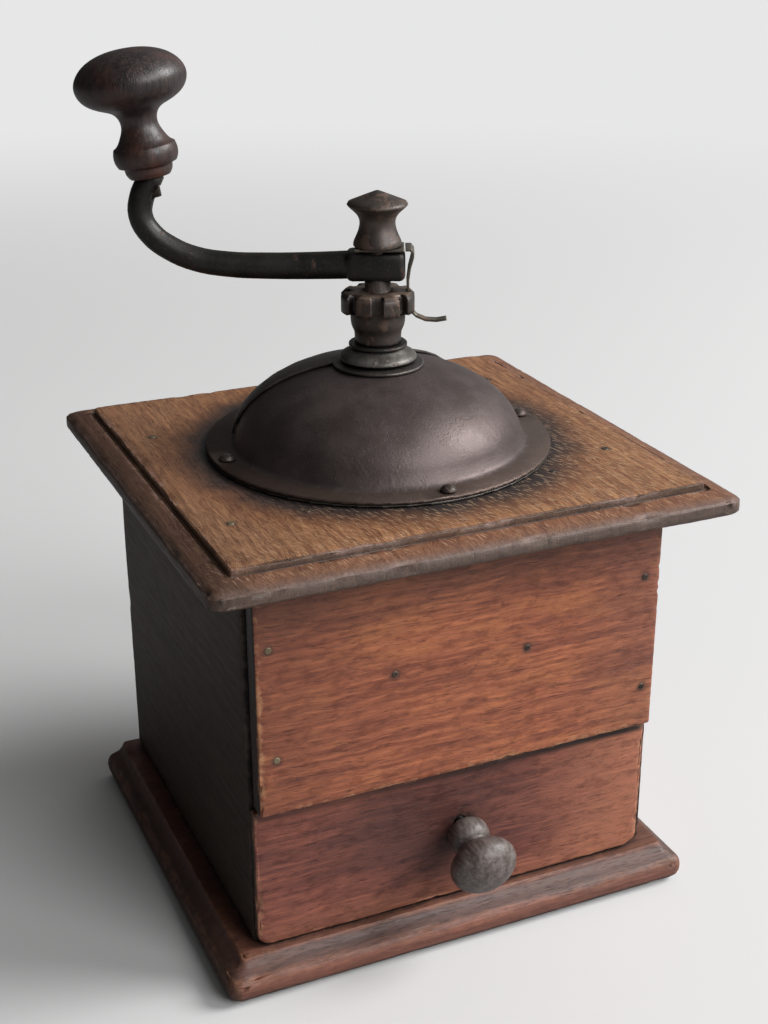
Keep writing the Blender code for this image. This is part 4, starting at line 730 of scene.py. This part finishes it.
def topStain(tree, place, color, figure):
    across = axes(tree, place)[0]
    outside = fieldEdge(tree, place)
    color = mark(tree, color, outside, topMarks["margin"])
    # painted shade in the groove round the field
    wander = calc(tree, "MULTIPLY", figure["Blotch"], topMarks["wander"])
    groove = calc(tree, "SUBTRACT", calc(tree, "ABSOLUTE", outside), wander)
    strength = fade(tree, across, *topMarks["quirk"]["strength"])
    color = mark(tree, color, groove, {**topMarks["quirk"], "share": strength})
    # painted highlight along the outer arris
    color = mark(tree, color, outside, topMarks["rim"])
    color = mark(tree, color, belowTop(tree, place), topMarks["nose"])
    # painted shade on the left of the board and its left margin
    color = mark(tree, color, across, topMarks["shade"])
    uneven = calc(tree, "MULTIPLY", figure["Blotch"], topMarks["uneven"])
    margin = reached(tree, outside, topMarks["margin"]["reach"])
    left = {**topMarks["left"], "share": calc(tree, "MULTIPLY", margin, topMarks["left"]["share"])}
    color = mark(tree, color, calc(tree, "ADD", across, uneven), left)
    radius = lengthOf(tree, flattened(tree, place, (1, 1, 0)))
    cloud = clouds(tree, place, topMarks["cloud"], 5.0, 0.6).outputs["Fac"]
    radius = calc(tree, "ADD", radius, calc(tree, "MULTIPLY", cloud, topMarks["cloudReach"]))
    color = mark(tree, color, radius, topMarks["burnt"])
    color = mark(tree, color, radius, topMarks["bloom"])
    nearest = nailGap(tree, place, (1, 1, 0), [(x, y, 0.0) for x, y in nailMarks["top"]])
    return mark(tree, color, nearest, topMarks["halo"])


topAreas = {"scratchArea": topScratchArea, "wornArea": topWornArea}
topWood = woodFinish({**topLook, **topAreas}, topStain)
wornBoard("top_board", topWood, {**boardWear, "seed": 7.0, "chipFrom": 0.26})
print("top board finished")


# Base board

baseLook = {
    "name": "base_board_worn_wood",
    "light": (0.260, 0.115, 0.075), "mid": (0.200, 0.083, 0.058), "dark": (0.110, 0.047, 0.037),
    "patch": (0.050, 0.037, 0.035), "worn": (0.32, 0.15, 0.085), "grime": (0.009, 0.007, 0.007),
    "turn": (0, 0, 0), "shift": (0.11, 0.57, 0.2), "waviness": 0.0030, "mottleShare": 0.45,
    "grainShare": 0.5, "patchShare": 0.75, "poreShare": 0.45, "rough": 0.46, "relief": 0.00011,
    "edgePatch": 0.7, "edgeShare": 0.4, "grimeReach": 0.006, "grimeShare": 0.9,
    "specular": 0.35,
}
baseMarks = {
    "wander": 0.003,
    "cove": {"reach": (0.0085, 0.0098), "until": (0.0132, 0.0122), "share": 0.62,
             "tone": (0.075, 0.058, 0.055)},
    "strip": {"reach": (0.0132, 0.0138), "share": 0.5, "tone": (0.13, 0.055, 0.032)},
    "nose": {"reach": (0.0085, 0.0070), "share": 0.45, "tone": (0.215, 0.083, 0.058)},
    "corner": {"reach": (-0.045, -0.070), "share": 0.45, "tone": (0.100, 0.038, 0.022)},
    # painted shade: the moulding on the left end is darkened nearly to black
    "left": {"reach": (-0.0705, -0.0735), "share": 0.6, "tone": (0.035, 0.022, 0.018)},
}


def baseStain(tree, place, color, figure):
    across, _, height = axes(tree, place)
    wander = calc(tree, "MULTIPLY", figure["Blotch"], baseMarks["wander"])
    level = calc(tree, "ADD", height, wander)
    cove = baseMarks["cove"]
    share = calc(tree, "MULTIPLY", reached(tree, level, cove["until"]), cove["share"])
    color = mark(tree, color, level, {**cove, "share": share})
    color = mark(tree, color, level, baseMarks["strip"])
    color = mark(tree, color, level, baseMarks["nose"])
    color = mark(tree, color, across, baseMarks["corner"])
    # painted shade on the left end
    return mark(tree, color, calc(tree, "SUBTRACT", across, wander), baseMarks["left"])


baseWood = woodFinish(baseLook, baseStain)
wornBoard("base_board", baseWood, {**boardWear, "seed": 13.0})
print("base board finished")


# Side boards and back board

# painted shade: the left side board's wood is the right side's brown wood darkened
shadedSideLook = {
    "name": "left_side_board_shaded_wood",
    "light": (0.070, 0.043, 0.029), "mid": (0.052, 0.033, 0.023), "dark": (0.030, 0.019, 0.014),
    "patch": (0.018, 0.013, 0.011), "worn": (0.14, 0.10, 0.075), "grime": (0.006, 0.005, 0.005),
    "turn": (0, 0, 90), "shift": (0.41, 0.0, 0.09), "waviness": 0.0035, "mottleShare": 0.40,
    "grainShare": 0.45, "patchShare": 0.6, "poreShare": 0.40, "rough": 0.50, "relief": 0.00010,
    "edgePatch": 0.9, "edgeShare": 0.5, "grimeReach": 0.006, "grimeShare": 0.9,
    "specular": 0.18,
}
rightLook = {
    **shadedSideLook, "name": "right_side_board_brown_wood", "shift": (0.13, 0.7, 0.5), "specular": 0.3,
    "light": (0.235, 0.095, 0.055), "mid": (0.170, 0.066, 0.041), "dark": (0.100, 0.038, 0.027),
    "patch": (0.055, 0.030, 0.024), "worn": (0.34, 0.20, 0.13),
}
backLook = {
    **rightLook, "name": "back_board_brown_wood", "turn": (0, 0, 0), "shift": (0.87, 0.2, 0.3),
}
# painted shadow: the edge behind the front board and the drawer is black
sideEdgeShadow = {"reach": (-0.0550, -0.0555), "share": 0.9, "tone": (0.008, 0.006, 0.006)}


def paintSideEdgeShadow(tree, place, color, figure):
    # painted shadow on the front edge
    return mark(tree, color, axes(tree, place)[1], sideEdgeShadow)


# the left side board gets the painted shade
shadedSideWood = woodFinish(shadedSideLook, paintSideEdgeShadow)
rightWood = woodFinish(rightLook, paintSideEdgeShadow)
backWood = woodFinish(backLook)
sideWear = {**boardWear, "cell": 2.2 * millimetre, "chipFrom": 0.36}
wornBoard("left_side_board", shadedSideWood, {**sideWear, "seed": 17.0})
wornBoard("right_side_board", rightWood, {**sideWear, "seed": 19.0})
wornBoard("back_board", backWood, {**sideWear, "seed": 23.0})


# Drawer box, bare beech stained by coffee

boxLook = {
    "name": "drawer_box_bare_wood",
    "light": (0.50, 0.36, 0.22), "mid": (0.40, 0.27, 0.155), "dark": (0.27, 0.165, 0.09),
    "patch": (0.15, 0.085, 0.045), "worn": (0.50, 0.38, 0.26), "grime": (0.045, 0.024, 0.013),
    "turn": (0, 0, 90), "shift": (0.05, 0.33, 0.6), "waviness": 0.0025, "mottleShare": 0.3,
    "grainShare": 0.5, "patchShare": 0.75, "poreShare": 0.4, "rough": 0.66, "relief": 0.00012,
    "edgePatch": 0.6, "edgeShare": 0.4,
    "grimeReach": 0.010, "grimeShare": 0.85, "specular": 0.25,
}
boxWood = woodFinish(boxLook)
acrossWood = woodFinish({**boxLook, "name": "drawer_back_bare_wood", "turn": (0, 0, 0)})
dress(boxWood, "drawer_left_side", "drawer_right_side", "drawer_bottom")
dress(acrossWood, "drawer_back")


# Turned knobs

crankKnobLook = {
    "name": "crank_knob_black_wood",
    "light": (0.056, 0.036, 0.030), "mid": (0.028, 0.020, 0.018), "dark": (0.012, 0.009, 0.009),
    "patch": (0.085, 0.028, 0.018), "worn": (0.17, 0.085, 0.06), "grime": (0.007, 0.006, 0.006),
    "turn": (0, 90, 0), "shift": (0.2, 0.1, 0.7), "waviness": 0.0020, "mottleShare": 0.4,
    "grainShare": 0.5, "patchShare": 0.65, "poreShare": 0.3, "rough": 0.40, "relief": 0.00006,
    "edgePatch": 0.5, "edgeShare": 0.4,
    "grimeReach": 0.004, "grimeShare": 0.8, "specular": 0.5,
}
drawerKnobLook = {
    "name": "drawer_knob_grey_wood",
    "light": (0.195, 0.166, 0.155), "mid": (0.140, 0.118, 0.110), "dark": (0.068, 0.052, 0.046),
    "patch": (0.085, 0.045, 0.034), "worn": (0.24, 0.165, 0.13), "grime": (0.012, 0.010, 0.010),
    "turn": (0, 0, 90), "shift": (0.3, 0.9, 0.1), "waviness": 0.0020, "mottleShare": 0.4,
    "grainShare": 0.5, "patchShare": 0.5, "poreShare": 0.35, "rough": 0.40, "relief": 0.00006,
    "edgePatch": 0.5, "edgeShare": 0.4,
    "grimeReach": 0.004, "grimeShare": 0.8, "specular": 0.5,
}
smoothPiece(woodFinish(crankKnobLook), "crank_knob", rounds=2)
smoothPiece(woodFinish(drawerKnobLook), "drawer_knob", rounds=2)
print("wood finished")


# Dome and cover

domeLook = {
    "name": "dome_brown_iron",
    "dark": (0.082, 0.062, 0.059), "mid": (0.105, 0.082, 0.079), "fleck": (0.17, 0.14, 0.13),
    "rust": (0.085, 0.050, 0.038), "worn": (0.26, 0.20, 0.17), "grime": (0.010, 0.008, 0.007),
    "fleckShare": 0.30, "rustFrom": 0.52, "rustShare": 0.10, "rough": 0.48, "metal": 0.72,
    "edgeWidth": 0.0009, "edgePatch": 0.5, "edgeShare": 0.6,
    "grimeReach": 0.005, "grimeShare": 0.8, "relief": 0.00006, "fleckRelief": 0.8,
}
domeMarks = {
    # rust tints the flange, pale dust lies in the corner where it meets the dome
    "flange": {"reach": (0.0428, 0.0448), "share": 0.55, "tone": (0.085, 0.052, 0.036)},
    "dust": {"radius": 0.0436, "reach": (0.0010, 0.0), "cloud": 420.0, "broken": (0.50, 0.66),
             "share": 0.4, "tone": (0.22, 0.18, 0.15)},
}


def domeDust(tree, place, color):
    radius = lengthOf(tree, flattened(tree, place, (1, 1, 0)))
    color = mark(tree, color, radius, domeMarks["flange"])
    dust = domeMarks["dust"]
    gap = calc(tree, "ABSOLUTE", calc(tree, "SUBTRACT", radius, dust["radius"]))
    broken = clouds(tree, place, dust["cloud"], 4.0, 0.7).outputs["Fac"]
    share = calc(tree, "MULTIPLY", reached(tree, broken, dust["broken"]), dust["share"])
    return mark(tree, color, gap, {**dust, "share": share})


domeIron = ironFinish(domeLook, domeDust)
# painted shade: the cover and its knob get the dome's iron darkened, as the dome's left lies in
# shade
shadedCoverIron = ironFinish({
    **domeLook, "name": "cover_shaded_iron", "dark": (0.045, 0.040, 0.038),
    "mid": (0.080, 0.070, 0.066), "worn": (0.24, 0.22, 0.20), "rustShare": 0.25})
smoothPiece(domeIron, "dome")
smoothPiece(shadedCoverIron, "swing_cover", "cover_knob")


# Cast and forged iron

ironLook = {
    "name": "crank_black_iron",
    "dark": (0.012, 0.012, 0.011), "mid": (0.026, 0.024, 0.022), "fleck": (0.08, 0.066, 0.058),
    "rust": (0.095, 0.040, 0.026), "worn": (0.17, 0.14, 0.12), "grime": (0.008, 0.007, 0.006),
    "fleckShare": 0.30, "rustFrom": 0.57, "rustShare": 0.55, "rough": 0.42, "metal": 0.55,
    "edgeWidth": 0.0008, "edgePatch": 0.5, "edgeShare": 0.55,
    "grimeReach": 0.004, "grimeShare": 0.8, "relief": 0.00010,
}
# painted highlight: the neck's near-black iron gets a light mid tone that stands in for the
# highlight on it
castLook = {
    **ironLook, "name": "neck_cast_iron",
    "dark": (0.050, 0.046, 0.042), "mid": (0.140, 0.129, 0.116), "rustFrom": 0.57,
    "worn": (0.26, 0.24, 0.22), "relief": 0.00030, "metal": 0.5, "rough": 0.42,
    "fleckScale": 700.0, "cloudScale": 160.0,
}
rustyLook = {
    **ironLook, "name": "cap_nut_rusty_iron",
    "dark": (0.036, 0.030, 0.027), "mid": (0.085, 0.067, 0.059), "rust": (0.130, 0.074, 0.052),
    "rustFrom": 0.50, "rustShare": 0.60, "worn": (0.38, 0.29, 0.23), "edgeShare": 0.8,
}
springLook = {
    **ironLook, "name": "catch_spring_steel",
    "dark": (0.075, 0.066, 0.055), "mid": (0.15, 0.135, 0.11), "rust": (0.14, 0.075, 0.045),
    "rustFrom": 0.53, "worn": (0.38, 0.34, 0.28), "metal": 0.7, "rough": 0.42,
}
steelLook = {
    **ironLook, "name": "burr_worn_steel",
    "dark": (0.12, 0.115, 0.11), "mid": (0.24, 0.235, 0.225), "rust": (0.13, 0.065, 0.035),
    "rustFrom": 0.58, "worn": (0.50, 0.49, 0.47), "grime": (0.050, 0.027, 0.015),
    "metal": 0.9, "rough": 0.38, "grimeShare": 0.9,
}
sheetLook = {
    **ironLook, "name": "funnel_sheet_iron",
    "dark": (0.060, 0.055, 0.050), "mid": (0.12, 0.11, 0.10), "rustFrom": 0.55,
    "metal": 0.7, "rough": 0.5,
}


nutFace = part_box("adjusting_nut")[1].z
nutTop = {"reach": (nutFace - 0.0004, nutFace - 0.0001), "share": 0.7, "tone": (0.160, 0.110, 0.082)}


def nutTopBrown(tree, place, color):
    # the crown's upper face is turned lighter brown
    return mark(tree, color, axes(tree, place)[2], nutTop)


blackIron = ironFinish(ironLook)
castIron = ironFinish(castLook)
rustyIron = ironFinish(rustyLook)
nutIron = ironFinish({
    **rustyLook, "name": "adjusting_nut_iron", "dark": (0.024, 0.021, 0.019),
    "mid": (0.062, 0.050, 0.044), "edgeShare": 0.45}, nutTopBrown)
springSteel = ironFinish(springLook)
wornSteel = ironFinish(steelLook)
sheetIron = ironFinish(sheetLook)
smoothPiece(blackIron, "crank_arm", "bearing_bridge", "bridge_screw_left",
            "bridge_screw_right", "burr_screw_1", "burr_screw_2", "burr_screw_3", "burr_nut",
            "drawer_knob_screw")
smoothPiece(rustyIron, "flange_screw_left", "flange_screw_front", "flange_screw_right",
            "flange_screw_back", rounds=2)
smoothPiece(rustyIron, "cap_nut", rounds=2)
smoothPiece(nutIron, "adjusting_nut", rounds=2)
smoothPiece(rustyIron, "spindle")
smoothPiece(springSteel, "catch_clip", "catch_tongue", "knob_pin")
smoothPiece(wornSteel, "ring_burr", "cone_burr")
smoothPiece(sheetIron, "hopper_funnel")


# Neck collar and washer, turned

neckShape = {
    "bore": 0.0043, "washerRadius": 0.0084, "washerEdge": 0.15 * millimetre,
    "washerGap": 0.05 * millimetre, "steps": 64, "sharp": 38.0,
    "collar": ((0.0072, 0.00), (0.0077, 0.08), (0.0083, 0.22), (0.0093, 0.38), (0.0104, 0.54),
               (0.0111, 0.70), (0.0112, 0.84), (0.0108, 0.95), (0.0100, 1.00)),
}


def turnedRing(node, outline, material):
    # outline runs from the bore's top round the outside to the bore's foot
    body = bmesh.new()
    verts = [body.verts.new((radius, 0.0, height)) for radius, height in outline]
    edges = [body.edges.new((one, two)) for one, two in zip(verts, verts[1:] + verts[:1])]
    bmesh.ops.spin(body, geom=verts + edges, cent=(0, 0, 0), axis=(0, 0, 1), angle=math.tau,
                   steps=neckShape["steps"], use_merge=True)
    bmesh.ops.remove_doubles(body, verts=body.verts, dist=0.005 * millimetre)
    bmesh.ops.recalc_face_normals(body, faces=body.faces)
    piece = finishPiece(body, node + "_turned", node, material)
    piece.data.set_sharp_from_angle(angle=math.radians(neckShape["sharp"]))


def addNeck():
    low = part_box("neck_bush")[0]
    washerLow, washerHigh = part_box("thrust_washer")
    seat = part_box("swing_cover")[1].z
    crown = washerLow.z - neckShape["washerGap"]
    collar = [(radius, crown + (seat - crown) * share) for radius, share in neckShape["collar"]]
    outline = [(neckShape["bore"], crown)] + collar
    outline += [(neckShape["bore"] + millimetre, low.z), (neckShape["bore"], low.z)]
    turnedRing("neck_bush", outline, castIron)
    bore = neckShape["bore"]
    radius = neckShape["washerRadius"]
    edge = neckShape["washerEdge"]
    outline = [(bore, washerHigh.z), (radius - edge, washerHigh.z), (radius, washerHigh.z - edge),
               (radius, washerLow.z + edge), (radius - edge, washerLow.z), (bore, washerLow.z)]
    turnedRing("thrust_washer", outline, blackIron)


addNeck()
print("iron finished")


# Nails

def nailHeads(name, places, facing):
    # facing turns +Z to the way that the board faces
    body = bmesh.new()
    radius = nailMarks["headRadius"]
    for x, y, z in places:
        made = bmesh.ops.create_cone(body, cap_ends=True, segments=nailMarks["headSides"],
                                     radius1=radius, radius2=radius * nailMarks["headTaper"],
                                     depth=nailMarks["headRise"] * 2)
        place = Matrix.Translation((x, y, z)) @ facing
        bmesh.ops.transform(body, matrix=place, verts=made["verts"])
    bmesh.ops.recalc_face_normals(body, faces=body.faces)
    mesh = bpy.data.meshes.new(name)
    body.to_mesh(mesh)
    body.free()
    piece = bpy.data.objects.new(name, mesh)
    bpy.context.scene.collection.objects.link(piece)
    piece.data.materials.append(nailIron)
    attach(piece, "root")


leftHeads = {"reach": (-0.050, -0.056), "share": 0.75, "tone": (0.200, 0.165, 0.095)}


def nailTan(tree, place, color):
    # the heads near the left edge are filled with pale dirt
    return mark(tree, color, axes(tree, place)[0], leftHeads)


nailIron = ironFinish({
    **rustyLook, "name": "nail_iron", "dark": (0.025, 0.020, 0.017), "mid": (0.070, 0.050, 0.038),
    "rust": (0.15, 0.100, 0.062), "edgeWidth": 0.0003}, nailTan)
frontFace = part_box("front_board")[0].y
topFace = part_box("top_board")[1].z
nailHeads("front_board_nails", [(x, frontFace, z) for x, z in nailMarks["front"]],
          Matrix.Rotation(math.pi / 2, 4, "X"))
nailHeads("top_board_nails", [(x, y, topFace) for x, y in nailMarks["top"]], Matrix.Identity(4))
print("nails driven")


# Floor, lamps and camera

studio = {
    "floor": (0.66, 0.66, 0.66), "floorBounce": (0.34, 0.34, 0.34),
    "backdrop": (0.80, 0.80, 0.805),
    "fadeFromTo": (0.45, 1.5), "floorHalf": 6.0, "floorDrop": 0.1 * millimetre,
    "ambient": (0.04, 0.52), "bright": (0.93, -0.30, 0.20), "brightReach": (-0.4, 1.0),
    "ambientColor": (1.0, 0.99, 0.98, 1.0),
    "window": {"place": (2.15, -0.75, 1.75), "size": 1.5, "power": 90.0},
    "front": {"place": (1.0, -2.45, 1.6), "size": 1.8, "power": 54.0},
    "target": (0.0, 0.0, 0.10),
}
camera = {
    "place": (-0.1740, -0.3968, 0.2945),
    "turn": (67.07, 0.14, -23.95),
    "lens": 55.0,
}


def addFloor():
    sheet = bmesh.new()
    bmesh.ops.create_grid(sheet, x_segments=1, y_segments=1, size=studio["floorHalf"])
    mesh = bpy.data.meshes.new("floor")
    sheet.to_mesh(mesh)
    sheet.free()
    mesh.transform(Matrix.Translation((0, 0, -studio["floorDrop"])))
    floor = bpy.data.objects.new("floor", mesh)
    bpy.context.scene.collection.objects.link(floor)
    material, tree, shader, place = newMaterial("floor_plain")
    # pale to the camera, greyer to the light that it throws back at the mill
    seen = addNode(tree, "ShaderNodeLightPath").outputs["Is Camera Ray"]
    tone = mixed(tree, seen, studio["floorBounce"], studio["floor"])
    tree.links.new(tone, shader.inputs["Base Color"])
    shader.inputs["Roughness"].default_value = 0.9
    # far from the mill the camera sees the backdrop's plain colour
    plain = addNode(tree, "ShaderNodeEmission", {"Color": (*studio["backdrop"], 1.0)})
    away = reached(tree, lengthOf(tree, place), studio["fadeFromTo"])
    choice = addNode(tree, "ShaderNodeMixShader", {0: calc(tree, "MULTIPLY", away, seen)})
    tree.links.new(shader.outputs[0], choice.inputs[1])
    tree.links.new(plain.outputs[0], choice.inputs[2])
    tree.links.new(choice.outputs[0], tree.nodes["Material Output"].inputs["Surface"])
    mesh.materials.append(material)


def addWorld():
    # the room is lighter on the window's side
    world = bpy.data.worlds.new("studio")
    bpy.context.scene.world = world
    world.use_nodes = True
    tree = world.node_tree
    light = tree.nodes["Background"]
    light.inputs["Color"].default_value = studio["ambientColor"]
    way = addNode(tree, "ShaderNodeTexCoord").outputs["Generated"]
    facing = addNode(tree, "ShaderNodeVectorMath", {0: way, 1: studio["bright"]},
                     operation="DOT_PRODUCT").outputs["Value"]
    strength = fade(tree, facing, *studio["brightReach"], *studio["ambient"])
    tree.links.new(strength, light.inputs["Strength"])
    seen = addNode(tree, "ShaderNodeBackground", {"Color": (*studio["backdrop"], 1.0)})
    rays = addNode(tree, "ShaderNodeLightPath").outputs
    visible = strongest(tree, rays["Is Camera Ray"], rays["Is Transmission Ray"])
    choice = addNode(tree, "ShaderNodeMixShader", {0: visible})
    tree.links.new(light.outputs[0], choice.inputs[1])
    tree.links.new(seen.outputs[0], choice.inputs[2])
    tree.links.new(choice.outputs[0], tree.nodes["World Output"].inputs["Surface"])


def addLamp(name):
    look = studio[name]
    lamp = bpy.data.lights.new(name, "AREA")
    lamp.shape = "DISK"
    lamp.size = look["size"]
    lamp.energy = look["power"]
    item = bpy.data.objects.new(name, lamp)
    item.location = look["place"]
    towards = Vector(studio["target"]) - item.location
    item.rotation_euler = towards.to_track_quat("-Z", "Y").to_euler()
    bpy.context.scene.collection.objects.link(item)


def addCamera():
    data = bpy.data.cameras.new("photograph")
    data.sensor_fit = "VERTICAL"
    data.sensor_height = 36.0
    data.lens = camera["lens"]
    item = bpy.data.objects.new("photograph", data)
    item.location = camera["place"]
    item.rotation_euler = [math.radians(angle) for angle in camera["turn"]]
    bpy.context.scene.collection.objects.link(item)
    bpy.context.scene.camera = item


addFloor()
addWorld()
addLamp("window")
addLamp("front")
addCamera()
bpy.context.scene.view_settings.view_transform = "Standard"
print("studio set")
